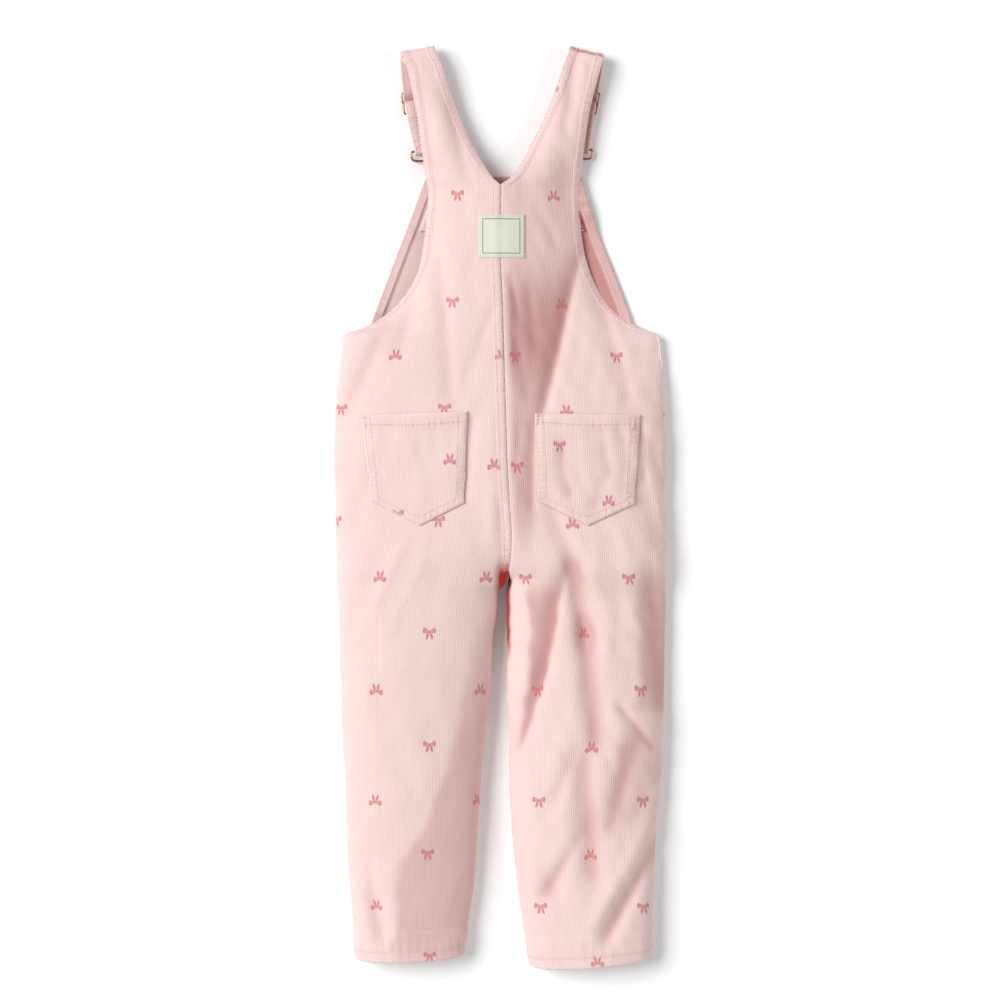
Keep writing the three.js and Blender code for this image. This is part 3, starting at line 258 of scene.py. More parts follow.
# Main folds of the back: the line in plan, left flank, depth, right flank
FOLDS = [
    Fold(-47, 186, -38, 91, 9, 2.0, 6), Fold(-71, 154, -79, 123, 9, 2.0),
    Fold(-90, 139, -120, 76, 9, 2.4), Fold(-39, 315, -27, 264, 6, 1.4),
    Fold(-51, 268, -27, 256, 7, 1.2), Fold(-8, 68, -6, -18, 7, -1.0),
    Fold(-22, 66, -27, 13, 5, 2.0, 5), Fold(-100, -312, -92, -334, 8, 1.5),
    Fold(59, 350, 51, 296, 6, 1.4), Fold(51, 262, 50, 246, 8, 1.2),
    Fold(60, 190, 36, 80, 9, 2.4, 5), Fold(79, 158, 100, 88, 9, 2.0, 6),
    Fold(10, 162, 14, 118, 6, 1.0), Fold(26, 60, 26, 6, 6, 1.6, 3),
    Fold(111, 60, 123, 29, 7, 1.8, 4), Fold(108, 17, 122, -28, 8, 2.4, 4),
    Fold(39, -3, 59, -50, 10, 2.4, 8), Fold(56, -50, 66, -101, 8, 4.6, 11),
    Fold(66, -101, 75, -180, 10, 4.8, 12), Fold(48, -62, 34, -132, 12, 2.4, 4),
    Fold(34, -132, 18, -178, 10, 2.2, 5), Fold(66, -204, 73, -282, 12, 4.2, 9),
    Fold(49, -284, 38, -302, 8, 2.4),
    Fold(118, -58, 124, -150, 12, 3.0, 8), Fold(94, -156, 118, -187, 4, 2.6, 4),
    Fold(104, -192, 88, -240, 14, 2.6, 8), Fold(126, -237, 77, -320, 8, -2.4),
    Fold(122, -262, 86, -332, 9, 4.4, 7),
]

# Softer and smaller folds between the main ones
SMALL_FOLDS = [
    Fold(-41, 320, -34, 281, 8, 0.8), Fold(-62, 316, -54, 274, 8, 0.9),
    Fold(-5, 152, -27, 102, 5, 0.9), Fold(-14, 120, -30, 84, 5, 0.7),
    Fold(-116, 45, -125, 24, 6, 1.3), Fold(-102, 24, -116, -12, 9, 1.0),
    Fold(1, 0, 3, -45, 6, 1.4), Fold(-98, -44, -116, -90, 9, 1.2),
    Fold(-76, -30, -95, -73, 5, -0.8), Fold(-60, -45, -88, -100, 5, -0.6),
    Fold(-102, -283, -95, -333, 6, 1.6), Fold(-84, -283, -84, -333, 6, -0.7),
    Fold(55, 345, 57, 316, 8, 1.2), Fold(52, 284, 46, 259, 8, 1.0),
    Fold(109, 59, 112, 24, 4, 1.8), Fold(112, 24, 126, -24, 4, 2.0, 3),
    Fold(120, 52, 127, 18, 4, 1.2), Fold(97, -160, 129, -156, 5, 0.9),
    Fold(37, -290, 48, -312, 7, 1.4), Fold(41, -226, 34, -240, 7, 1.0),
    Fold(24, -60, 20, -100, 7, 0.9), Fold(88, -30, 96, -84, 7, 0.9),
    Fold(9, 176, 14, 150, 5, 1.1, 3), Fold(22, 166, 27, 128, 6, 1.1, 4),
    Fold(13, 122, 21, 88, 5, 1.0, 3), Fold(15, 60, 12, 26, 4, 0.8, 3),
    Fold(56, -196, 44, -230, 8, 1.4, 5), Fold(60, -262, 36, -300, 7, 1.6, 5),
]

# Fine uneven creases of the back and of the pockets
CREASES = [
    Fold(-60, 240, -40, 150, 6, 0.5), Fold(-30, 235, -22, 170, 7, 0.4),
    Fold(-84, 60, -88, -10, 8, 0.6), Fold(-52, -30, -60, -110, 9, 0.5),
    Fold(-96, -130, -70, -210, 9, 0.5), Fold(22, 240, 44, 205, 6, 0.5),
    Fold(84, -20, 92, -80, 8, 0.8), Fold(92, -100, 86, -150, 8, 0.7),
    Fold(30, -190, 44, -260, 8, 0.7), Fold(-108, 110, -96, 82, 6, 0.5),
]
POCKET_CREASES = [
    Fold(-97, 56, -88, 28, 6, -0.7), Fold(-70, 46, -60, 10, 7, -0.6),
    Fold(-50, 60, -46, 34, 5, 0.5), Fold(-84, 20, -74, 0, 6, 0.5),
    Fold(48, 48, 54, 12, 5, 1.1), Fold(62, 58, 70, 22, 6, -0.7),
    Fold(80, 56, 84, 34, 5, 0.8), Fold(92, 62, 97, 30, 5, 0.7),
    Fold(86, 26, 74, 2, 6, 0.6),
]

# Levels of the bows on each panel's grain line and their level in the print
LEFT_LEVELS = (
    (-351.2, -353.7), (-270.9, -268.0), (-186.7, -182.3), (-98.6, -96.6),
    (-11.3, -10.9), (76.0, 74.8), (159.4, 160.5), (243.2, 246.2),
)
RIGHT_LEVELS = (
    (-355.1, -353.7), (-271.7, -268.0), (-188.2, -182.3), (-99.0, -96.6),
    (-13.5, -10.9), (74.5, 74.8), (158.4, 160.5), (242.8, 246.2),
)

BIB_SECTIONS = [
    Level(258.6, -58.1, 64.3, 0), Level(248.0, -62.0, 66.5, 0),
    Level(238.0, -65.7, 69.7, 0), Level(226.0, -70.2, 73.7, 0),
    Level(214.0, -74.7, 77.6, 0), Level(201.0, -79.8, 82.6, 0),
    Level(182.0, -87.0, 90.4, 0), Level(162.0, -94.6, 98.1, 0.3),
    Level(148.0, -100.0, 102.8, 1.2), Level(140.5, -103.0, 105.0, 2.6),
    Level(136.5, -111.5, 113.5, 3.6),
    Level(WAIST_Y + SEAM_GAP / 2, -121.6, 123.9, 5.0),
]

# Columns across a piece at these distances from an edge, so that turned edges are crisp
EDGE_COLUMNS = (
    0.0, 0.25, 0.7, 1.4, 2.1, 2.9, 3.7, 4.5, 5.1, 5.8, 6.5, 7.1, 7.6, 8.6, 10.4,
)


def curve_through(knots: np.ndarray, values: np.ndarray, at: np.ndarray) -> np.ndarray:
    """Monotone cubic through knots, so that no size overshoots its table.

    Args:
        knots: Rising places of the table's rows.
        values: The size at each knot.
        at: Places where the size is wanted.

    Returns:
        The size at each place.
    """
    knots = np.asarray(knots, float)
    values = np.asarray(values, float)
    at = np.asarray(at, float)
    gap = np.diff(knots)
    step = np.diff(values) / gap
    slope = np.concatenate([step[:1], np.zeros(len(step) - 1), step[-1:]])
    product = step[:-1] * step[1:]
    total = np.where(product > 0, step[:-1] + step[1:], 1.0)
    slope[1:-1] = np.where(product > 0, 2 * product / total, 0.0)
    i = np.clip(np.searchsorted(knots, at, side="left") - 1, 0, len(knots) - 2)
    h = gap[i]
    t = np.clip((at - knots[i]) / h, 0, 1)
    t2, t3 = t * t, t * t * t
    return (
        (2 * t3 - 3 * t2 + 1) * values[i]
        + (t3 - 2 * t2 + t) * h * slope[i]
        + (3 * t2 - 2 * t3) * values[i + 1]
        + (t3 - t2) * h * slope[i + 1]
    )


def smooth(t: np.ndarray | float) -> np.ndarray:
    """Ease from 0 to 1."""
    t = np.clip(t, 0, 1)
    return t * t * (3 - 2 * t)


def seam_x(y: np.ndarray | float) -> np.ndarray:
    """Place of the centre-back seam at a level."""
    rows = np.array(CENTRE_SEAM, float)
    return curve_through(rows[:, 0], rows[:, 1], np.asarray(y, float))


def trough_depth(folds: Sequence[Fold], x: np.ndarray, y: np.ndarray) -> np.ndarray:
    """Depth that folds take together from the height.

    Args:
        folds: The folds.
        x: Places in plan.
        y: Places in plan.

    Returns:
        Depth at each place.
    """
    total = np.zeros_like(x)
    for f in folds:
        dx, dy = f.x1 - f.x0, f.y1 - f.y0
        length = math.hypot(dx, dy)
        along = ((x - f.x0) * dx + (y - f.y0) * dy) / length
        across = ((x - f.x0) * dy - (y - f.y0) * dx) / length
        past = np.maximum(0, np.maximum(-along, along - length))
        width = np.where(across > 0, f.width, f.right or f.width)
        reach = (across / width) ** 2 + (past / (1.6 * f.width)) ** 2
        total += np.where(reach < 6, f.depth * np.exp(-1.4 * np.minimum(reach, 6)), 0)
    return total


def crease_depth(creases: Sequence[Fold], x: np.ndarray, y: np.ndarray) -> np.ndarray:
    """Depth of soft uneven creases: a bowed trough with a low ridge along one side.

    Args:
        creases: The creases.
        x: Places in plan.
        y: Places in plan.

    Returns:
        Depth at each place.
    """
    total = np.zeros_like(x)
    for k, f in enumerate(creases):
        dx, dy = f.x1 - f.x0, f.y1 - f.y0
        length = math.hypot(dx, dy)
        along = ((x - f.x0) * dx + (y - f.y0) * dy) / length
        across = ((x - f.x0) * dy - (y - f.y0) * dx) / length
        part = along / length
        across = across + 0.07 * length * np.sin(math.pi * np.clip(part, 0, 1)) * (
            1 if k % 2 else -1
        )
        past = np.maximum(0, np.maximum(-along, along - length))
        fade = np.exp(-1.2 * (past / (1.4 * f.width)) ** 2)
        uneven = 0.8 + 0.2 * np.sin(7.0 * part + 1.7 * k)
        near = across / f.width
        shape = np.exp(-1.6 * near**2) - 0.38 * np.exp(-1.6 * (near - 1.5) ** 2)
        total += f.depth * uneven * fade * shape
    return total


def print_level(levels: Sequence[tuple[float, float]], y: np.ndarray) -> np.ndarray:
    """Level in the print of places on a panel.

    Args:
        levels: Pairs of a level on the panel and the print's own level.
        y: Levels on the panel.

    Returns:
        Levels in the print, also past both ends of the pairs.
    """
    rows = np.array(levels, float)
    inside = curve_through(rows[:, 0], rows[:, 1], y)
    return inside + np.minimum(y - rows[0, 0], 0) + np.maximum(y - rows[-1, 0], 0)


@dataclass(frozen=True)
class Facet:
    """A broad plane of cloth that falls away on the right of a ridge line."""

    ridge: tuple[tuple[float, float], ...]
    slope: float
    low: float
    high: float
    fade: float = 34.0
    soft: float = 5.0
    wander: float = 0.0

    def across(self, x: np.ndarray, y: np.ndarray) -> np.ndarray:
        """Distance to the right of the ridge line, which wanders a little as cloth does."""
        line = np.array(self.ridge, float)
        sway = np.sin(y / 6.1 + self.low) + 0.7 * np.sin(y / 3.3 + 0.4 * self.high + x / 9.0)
        return x - curve_through(line[:, 0], line[:, 1], y) + self.wander * sway

    def part(self, y: np.ndarray) -> np.ndarray:
        """Share of the slope that is left at a level."""
        return smooth((y - self.low) / self.fade) * smooth((self.high - y) / self.fade)

    def depth(self, x: np.ndarray, y: np.ndarray) -> np.ndarray:
        """Depth of the plane under the panel's own form."""
        across = self.across(x, y)
        return self.slope * (np.hypot(across, self.soft) + across) / 2 * self.part(y)

    def shade(self, x: np.ndarray, y: np.ndarray) -> np.ndarray:
        """Where the plane lies, from 0 to 1."""
        return self.slope * smooth(self.across(x, y) / (2 * self.soft) + 0.5) * self.part(y)


@dataclass
class Ripples:
    """Smooth uneven ripples made of a few waves, the same in every run."""

    seed: int
    short: float
    long: float
    count: int = 9
    turn: float = 0.0
    spread: float = math.pi

    def height(self, x: np.ndarray, y: np.ndarray) -> np.ndarray:
        """Height between about -1 and 1 at each place.

        Args:
            x: First coordinate.
            y: Second coordinate.

        Returns:
            The height.
        """
        rng = np.random.default_rng(self.seed)
        total = np.zeros(np.broadcast(x, y).shape)
        for _ in range(self.count):
            length = rng.uniform(self.short, self.long)
            angle = self.turn + rng.uniform(-0.5, 0.5) * self.spread
            phase = rng.uniform(0, 2 * math.pi)
            wave = 2 * math.pi / length
            total += np.sin(
                wave * (x * math.cos(angle) + y * math.sin(angle)) + phase
            )
        return total / math.sqrt(self.count * 2.0)


def grid_normals(points: np.ndarray, facing: float) -> np.ndarray:
    """Unit normals of a grid of points.

    Args:
        points: Rows by columns by 3.
        facing: 1 or -1, which side is out.

    Returns:
        A normal for each point.
    """
    along = np.gradient(points, axis=0)
    across = np.gradient(points, axis=1)
    normal = np.cross(along, across) * facing
    length = np.linalg.norm(normal, axis=2, keepdims=True)
    return normal / np.maximum(length, 1e-9)


def edge_round(distance: np.ndarray, radius: float, least: float = 0.22) -> np.ndarray:
    """Share of the wall's half thickness near a rounded edge.

    Args:
        distance: Distance from the edge.
        radius: Where the wall reaches its full thickness.
        least: Share left at the edge itself.

    Returns:
        A share from least to 1.
    """
    t = np.clip(distance / radius, 0, 1)
    return least + (1 - least) * np.sqrt(np.clip(1 - (1 - t) ** 2, 0, 1))


@dataclass
class ClothWall:
    """A closed wall of cloth over a grid of middle points.

    outer and inner are how far the two faces lie from the middle. cloth is the place of
    every point in the flat cut, in millimetres.
    """

    middle: np.ndarray
    normal: np.ndarray
    outer: np.ndarray
    inner: np.ndarray
    cloth: np.ndarray
    facing: float
    # Marks for the finishes: pale turned edges, partly rubbing and partly painted highlight; painted shade in
    # folds, on planes facing away from the light and in the crotch; painted shade along stitch troughs and
    # puckers.
    wear_and_highlight: np.ndarray | None = None
    painted_shade: np.ndarray | None = None
    seam: np.ndarray | None = None

    def outer_points(self) -> np.ndarray:
        """Points of the outer face."""
        return self.middle + self.normal * self.outer[..., None]

    def inner_points(self) -> np.ndarray:
        """Points of the inner face."""
        return self.middle - self.normal * self.inner[..., None]

    def area(self) -> float:
        """Flat area of the cut in square millimetres, from the middle points."""
        p = self.middle
        a, b, c, d = p[:-1, :-1], p[1:, :-1], p[1:, 1:], p[:-1, 1:]
        one = np.linalg.norm(np.cross(b - a, c - a), axis=2)
        two = np.linalg.norm(np.cross(c - a, d - a), axis=2)
        return float((one.sum() + two.sum()) / 2)

    def faces(self) -> tuple[np.ndarray, np.ndarray]:
        """Quads of the closed wall and which of them are on the wrong side of the cloth."""
        rows, cols = self.middle.shape[:2]
        ids = np.arange(rows * cols).reshape(rows, cols)
        under = ids + rows * cols

        def quads(a: np.ndarray, b: np.ndarray, c: np.ndarray, d: np.ndarray) -> np.ndarray:
            """Stack four corner arrays as quads."""
            return np.stack([a.ravel(), b.ravel(), c.ravel(), d.ravel()], axis=1)

        top = quads(ids[:-1, :-1], ids[1:, :-1], ids[1:, 1:], ids[:-1, 1:])
        low = quads(under[:-1, :-1], under[:-1, 1:], under[1:, 1:], under[1:, :-1])
        rims = [
            quads(ids[:-1, 0], under[:-1, 0], under[1:, 0], ids[1:, 0]),
            quads(ids[1:, -1], under[1:, -1], under[:-1, -1], ids[:-1, -1]),
            quads(ids[0, 1:], under[0, 1:], under[0, :-1], ids[0, :-1]),
            quads(ids[-1, :-1], under[-1, :-1], under[-1, 1:], ids[-1, 1:]),
        ]
        faces = np.concatenate([top, low, *rims])
        wrong = np.zeros(len(faces), int)
        wrong[len(top) : len(top) + len(low)] = 1
        if self.facing < 0:
            faces = faces[:, ::-1]
        return faces, wrong

    def build(self, name: str, materials: Sequence[bpy.types.Material]) -> bpy.types.Object:
        """Write the wall as a mesh object.

        Args:
            name: The piece's name.
            materials: Right side and wrong side.

        Returns:
            The object.
        """
        points = np.concatenate(
            [self.outer_points().reshape(-1, 3), self.inner_points().reshape(-1, 3)]
        )
        faces, wrong = self.faces()
        made = mesh_object(name, points, faces, materials)
        mesh = made.data
        mesh.polygons.foreach_set("material_index", wrong.astype(np.int32))
        cloth = np.concatenate([self.cloth.reshape(-1, 2)] * 2)
        corner = np.zeros(len(mesh.loops), np.int32)
        mesh.loops.foreach_get("vertex_index", corner)
        layer = mesh.uv_layers.new(name="cloth")
        layer.data.foreach_set("uv", (cloth[corner] * METRE).astype(np.float32).ravel())
        # These marks carry the painted highlight and painted shade to the finishes.
        marks = (("wear_and_highlight", self.wear_and_highlight), ("painted_shade", self.painted_shade), ("seam", self.seam))
        for label, values in marks:
            values = np.zeros(self.outer.shape) if values is None else values
            attribute = mesh.attributes.new(label, "FLOAT", "POINT")
            both = np.concatenate([values.ravel(), values.ravel()]).astype(np.float32)
            attribute.data.foreach_set("value", both)
        mesh.update()
        return made


def mesh_object(
    name: str,
    points: np.ndarray,
    faces: np.ndarray | list[list[int]],
    materials: Sequence[bpy.types.Material],
) -> bpy.types.Object:
    """Make a smooth-shaded mesh object from points in millimetres.

    Args:
        name: The piece's name.
        points: Points, N by 3.
        faces: Corners of each face.
        materials: The materials in slot order.

    Returns:
        The object, linked to the scene.
    """
    mesh = bpy.data.meshes.new(name)
    listed = faces.tolist() if isinstance(faces, np.ndarray) else faces
    mesh.from_pydata((np.asarray(points) * METRE).tolist(), [], listed)
    mesh.polygons.foreach_set("use_smooth", np.ones(len(mesh.polygons), bool))
    for material in materials:
        mesh.materials.append(material)
    mesh.update()
    made = bpy.data.objects.new(name, mesh)
    bpy.context.scene.collection.objects.link(made)
    return made


@dataclass(frozen=True)
class Thread:
    """A row of stitches: length of one, step between two, and half thickness."""

    length: float = 2.1
    step: float = 3.1
    radius: float = 0.33
    rise: float = 0.26
    sides: int = 6

    def points(self, path: np.ndarray, normals: np.ndarray) -> tuple[np.ndarray, list[list[int]]]:
        """Stitches along a path that lies on the cloth.

        Args:
            path: Points along the seam.
            normals: The cloth's normal at each of them.

        Returns:
            Points and faces of all the stitches.
        """
        gaps = np.linalg.norm(np.diff(path, axis=0), axis=1)
        run = np.concatenate([[0], np.cumsum(gaps)])
        count = int(run[-1] // self.step)
        if count < 1:
            return np.zeros((0, 3)), []
        step = run[-1] / count
        shares = np.array([0.0, 0.18, 0.5, 0.82, 1.0])
        lift = np.array([-0.30, 0.6, 1.0, 0.6, -0.30]) * self.rise
        width = np.array([0.45, 0.9, 1.0, 0.9, 0.45]) * self.radius
        start = (np.arange(count) + 0.5) * step - self.length / 2
        at = (start[:, None] + shares[None, :] * self.length).ravel()
        centre = np.stack([np.interp(at, run, path[:, k]) for k in range(3)], 1)
        up = np.stack([np.interp(at, run, normals[:, k]) for k in range(3)], 1)
        up /= np.linalg.norm(up, axis=1, keepdims=True)
        centre = centre.reshape(count, 5, 3)
        up = up.reshape(count, 5, 3)
        tangent = np.gradient(centre, axis=1)
        tangent /= np.linalg.norm(tangent, axis=2, keepdims=True)
        across = np.cross(tangent, up)
        across /= np.linalg.norm(across, axis=2, keepdims=True)
        turns = 2 * np.pi * np.arange(self.sides) / self.sides
        ring = (
            across[:, :, None, :] * np.cos(turns)[None, None, :, None]
            + up[:, :, None, :] * np.sin(turns)[None, None, :, None]
        )
        body = centre + up * lift[None, :, None]
        points = body[:, :, None, :] + ring * width[None, :, None, None]
        faces: list[list[int]] = []
        one = []
        for r in range(4):
            for k in range(self.sides):
                nxt = (k + 1) % self.sides
                a = r * self.sides
                b = a + self.sides
                one.append([a + k, a + nxt, b + nxt, b + k])
        one.append(list(range(self.sides))[::-1])
        one.append([4 * self.sides + k for k in range(self.sides)])
        for s in range(count):
            base = s * 5 * self.sides
            faces.extend([[base + i for i in face] for face in one])
        return points.reshape(-1, 3), faces


@dataclass
class Stitching:
    """All stitches of one piece, joined in one mesh."""

    thread: Thread = field(default_factory=Thread)
    points: list[np.ndarray] = field(default_factory=list)
    faces: list[list[int]] = field(default_factory=list)
    count: int = 0

    def sew(self, path: np.ndarray, normals: np.ndarray, thread: Thread | None = None) -> None:
        """Add a row of stitches.

        Args:
            path: Points along the seam on the cloth.
            normals: The cloth's normals there.
            thread: Another thread for this row.
        """
        points, faces = (thread or self.thread).points(path, normals)
        self.faces.extend([[self.count + i for i in face] for face in faces])
        self.points.append(points)
        self.count += len(points)

    def build(self, name: str, material: bpy.types.Material) -> bpy.types.Object:
        """Write the stitches as one object.

        Args:
            name: The piece's name.
            material: The thread's material.

        Returns:
            The object.
        """
        return mesh_object(name, np.concatenate(self.points), self.faces, [material])


@dataclass(frozen=True)
class StrapLine:
    """Lines of a strap at the shoulder fold and at the buckle's bar, and its bow."""

    fold_out: tuple[float, float]
    fold_in: tuple[float, float]
    bar_out: tuple[float, float]
    bow: float

    def row(self, at: float, z: float) -> Section:
        """Section of the strap on the garment's front.

        Args:
            at: Distance from the shoulder fold.
            z: Height of the wall's middle.

        Returns:
            The section.
        """
        out, inner = np.array(self.fold_out), np.array(self.fold_in)
        bar = np.array(self.bar_out)
        down = (bar - out) / np.linalg.norm(bar - out)
        inward = np.array([-down[1], down[0]])
        if inward @ (inner - out) < 0:
            inward = -inward
        t = at / BUCKLE_AT
        bow = self.bow * math.sin(math.pi * min(1.0, max(0.0, t)))
        o = out + (bar - out) * t - inward * bow
        i = inner + (bar + inward * STRAP_WIDTH - inner) * t - inward * bow
        return Section(o[0], o[1], i[0], i[1], z, z, -50, 50, 0)

    def place(self, at: float) -> tuple[float, float, float]:
        """Middle of the strap and its turn at a distance from the fold."""
        row = self.row(at, 0)
        turn = math.atan((row.yi - row.yo) / (row.xi - row.xo))
        return (row.xo + row.xi) / 2, (row.yo + row.yi) / 2, turn


LEFT_STRAP = StrapLine((-78.5, 355.2), (-51.0, 360.3), (-66.9, 278.4), 2.2)
RIGHT_STRAP = StrapLine((81.6, 352.9), (54.2, 359.9), (69.9, 280.0), -0.2)

# Grain line of each back panel, through a column of bows: level, x
LEFT_GRAIN = (
    (-360, -55), (-353.7, -55), (-272.8, -56.5), (-188, -55), (-99.3, -55),
    (-11.4, -47.9), (76.5, -43.2), (160.5, -36.9), (245.3, -33), (362, -33),
)
RIGHT_GRAIN = (
    (-362, 76), (-357.6, 76.1), (-273.6, 70.7), (-189.6, 71.4), (-99.7, 65.2),
    (-13.7, 56.5), (76.5, 51.8), (160.5, 47.9), (245.3, 41.6), (362, 41.6),
)


@dataclass
class BackPanel:
    """One back panel cut in one with its strap."""

    side: Side
    sections: list[Section]
    strap: StrapLine
    grain: tuple[tuple[float, float], ...]
    levels: tuple[tuple[float, float], ...]
    facets: tuple[Facet, ...]
    gain: float
    strap_pitch: float = 1.1
    panel_pitch: float = 1.9
    hem_pitch: float = 0.9
    samples: int = 180
    middle_columns: int = 44
    wall: ClothWall = field(init=False)
    rows: dict[str, np.ndarray] = field(init=False)
    from_outer: np.ndarray = field(init=False)
    from_inner: np.ndarray = field(init=False)

    def table(self) -> tuple[np.ndarray, np.ndarray]:
        """Sections of the whole cut from the strap's end to the hem, and which are strap."""
        rows: list[Section] = [self.strap.row(r.at, r.z) for r in reversed(STRAP_RUN)]
        for turn in FOLD_TURNS:
            a = math.radians(turn)
            rows.append(
                self.strap.row(FOLD_RADIUS * (1 - math.cos(a)), FOLD_Z + FOLD_RADIUS * math.sin(a))
            )
        flat = np.array([1.0] * len(rows) + [0.0] * len(self.sections))
        tuck = SEAM_GAP / 2 if self.side is Side.LEFT else -0.9
        for s in self.sections:
            seam = float(seam_x(s.yi)) + self.side.value * tuck
            rows.append(s if s.xi is not None else s._replace(xi=seam))
        return np.array(rows, float), flat

    def dense(self) -> None:
        """Work out the sections at the mesh's own pitch."""
        table, flat = self.table()
        mid = (table[:, 0:2] + table[:, 2:4]) / 2
        gaps = np.linalg.norm(
            np.column_stack([np.diff(mid, axis=0), np.diff(table[:, 5])]), axis=1
        )
        s = np.concatenate([[0], np.cumsum(gaps)])
        at = [0.0]
        strap_flat = [1.0]
        for k in range(1, len(s)):
            low, high = s[k - 1], s[k]
            pitch = self.strap_pitch if flat[k] else self.panel_pitch
            if s[-1] - high < LEG_HEM:
                pitch = self.hem_pitch
            steps = max(1, math.ceil((high - low) / pitch))
            at.extend((low + (high - low) * np.arange(1, steps + 1) / steps).tolist())
            strap_flat.extend([flat[k]] * steps)
        keys = Section._fields
        at = np.array(at)
        self.rows = {k: curve_through(s, table[:, i], at) for i, k in enumerate(keys)}
        self.rows["s"] = at
        self.rows["flat"] = np.array(strap_flat)

    def dome(self) -> np.ndarray:
        """Points of every section at even turns, with the main folds."""
        r = {k: v[:, None] for k, v in self.rows.items()}
        share = np.linspace(0, 1, self.samples + 1)[None, :]
        a = np.radians(r["ao"] + (r["ai"] - r["ao"]) * share)
        so, si = np.sin(np.radians(r["ao"])), np.sin(np.radians(r["ai"]))
        part = (np.sin(a) - so) / (si - so)
        cos = np.maximum(0, np.cos(a))
        end = np.maximum(0, np.cos(np.radians(r["ao"]))) ** DOME_POWER
        full = (r["crown"] - r["edge"]) / (1 - end)
        x = r["xo"] + (r["xi"] - r["xo"]) * part
        y = r["yo"] + (r["yi"] - r["yo"]) * part - r["sag"] * np.sqrt(cos)
        z = r["crown"] - full + full * cos**DOME_POWER
        fade = np.sqrt(cos) * (1 - r["flat"])
        z = z - self.fold_depth(x, y) * fade
        z = z - crease_depth(CREASES, x, y) * fade
        if self.side is Side.RIGHT:
            # The inside-leg seam shows as a narrow ledge just below the crotch
            near = smooth(1 - (1 - share) * 9) * smooth((z - 8) / 7)
            x = x + 3.4 * near * smooth((-50 - y) / 12) * smooth((y + 124) / 22)
        return np.stack([x, y, z], axis=2)

    def fold_depth(self, x: np.ndarray, y: np.ndarray) -> np.ndarray:
        """Depth of all the folds and planes of this panel."""
        total = self.gain * trough_depth(FOLDS, x, y) + trough_depth(SMALL_FOLDS, x, y)
        for facet in self.facets:
            total = total + facet.depth(x, y)
        return total

    def columns(self, points: np.ndarray) -> np.ndarray:
        """Place the mesh's columns by distance along each section.

        Args:
            points: Sampled sections.

        Returns:
            Middle points of the wall.
        """
        gaps = np.linalg.norm(np.diff(points, axis=1), axis=2)
        run = np.concatenate([np.zeros((len(gaps), 1)), np.cumsum(gaps, axis=1)], axis=1)
        total = run[:, -1:]
        edge = np.array(EDGE_COLUMNS)
        scale = np.minimum(1, total * 0.4 / edge[-1])
        near = edge[None, :] * scale
        middle = np.arange(1, self.middle_columns + 1) / (self.middle_columns + 1)
        low, high = near[:, -1:], total - near[:, -1:]
        target = np.concatenate([near, low + (high - low) * middle[None, :], total - near[:, ::-1]], 1)
        made = np.empty((*target.shape, 3))
        for i in range(len(points)):
            for k in range(3):
                made[i, :, k] = np.interp(target[i], run[i], points[i, :, k])
        self.from_outer = target
        self.from_inner = total - target
        self.grain_at = self.grain_place(points, run)
        return made

    def grain_place(self, points: np.ndarray, run: np.ndarray) -> np.ndarray:
        """Distance along each section to the grain line, also where that is past its end.

        Args:
            points: Sampled sections.
            run: Distance along each section at the samples.

        Returns:
            One distance for each section.
        """
        line = np.array(self.grain, float)
        found = []
        for i in range(len(points)):
            x = points[i, :, 0] * -self.side.value
            target = curve_through(line[:, 0], line[:, 1], points[i, :, 1].mean())
            target = float(target) * -self.side.value
            if target > x[-1]:
                place = run[i, -1] + (target - x[-1])
            elif target < x[0]:
                place = target - x[0]
            else:
                place = float(np.interp(target, x, run[i]))
            found.append(place)
        place = np.array(found)
        flat = self.rows["flat"] > 0
        first = int(np.argmin(flat))
        drift = self.rows["s"][first] - self.rows["s"][:first]
        place[:first] = place[first] + 0.2 * drift
        return place

    def relief(self) -> tuple[np.ndarray, np.ndarray]:
        """Turned edges, hem and puckers of the outer face.

        Returns:
            What the face stands proud of the wall, and painted shade in the stitch troughs, pucker troughs
            and turned edges along the seams.
        """
        rows = self.rows
        out, inn = self.from_outer, self.from_inner
        s = rows["s"][:, None] + 0 * out
        strap = rows["flat"][:, None] > 0
        hem_at = rows["s"][-1] - s
        free = (rows["yo"][:, None] > WAIST_Y + 1) & ~strap
        left = self.side is Side.LEFT
        felled = ((rows["yi"][:, None] > NECK_Y) | (left & (rows["yi"][:, None] > CROTCH_Y))) & ~strap
        pucker = Ripples(11 + self.side.value, 3.4, 7.0, 8, 0.0, 1.3)
        waves = pucker.height(s, out * 0.6)
        waves_in = pucker.height(s + 300, inn * 0.6)
        total = np.zeros_like(out)
        sunk_shade = np.zeros_like(out)
        for distance, wave, here in (
            (out, waves, free | strap),
            (inn, waves_in, felled | strap),
        ):
            band = HEM_BAND * smooth((EDGE_TURN + 0.5 - distance) / 0.7)
            spread = np.exp(-(((distance - 3.6) / 2.8) ** 2))
            troughs = sum(np.exp(-(((distance - d) / 0.6) ** 2)) for d in STITCH_ROWS)
            beside = 0.24 * wave * np.exp(-(((distance - 10.0) / 3.0) ** 2))
            total += np.where(here, band + 0.36 * wave * spread - 0.28 * troughs + beside, 0)
            # Painted shade in the stitch troughs, in the pucker troughs and just inside the turned edge.
            low = 0.55 * troughs + 0.5 * np.clip(-wave, 0, 1) * spread
            low += 0.35 * np.exp(-(((distance - EDGE_TURN - 0.8) / 0.8) ** 2))
            sunk_shade += np.where(here, low, 0)
        if not left:
            seam = (rows["yi"][:, None] <= NECK_Y) & (rows["yi"][:, None] > CROTCH_Y) & ~strap
            close = np.exp(-((inn / 4.0) ** 2))
            total += np.where(seam, 0.3 * waves_in * close, 0)
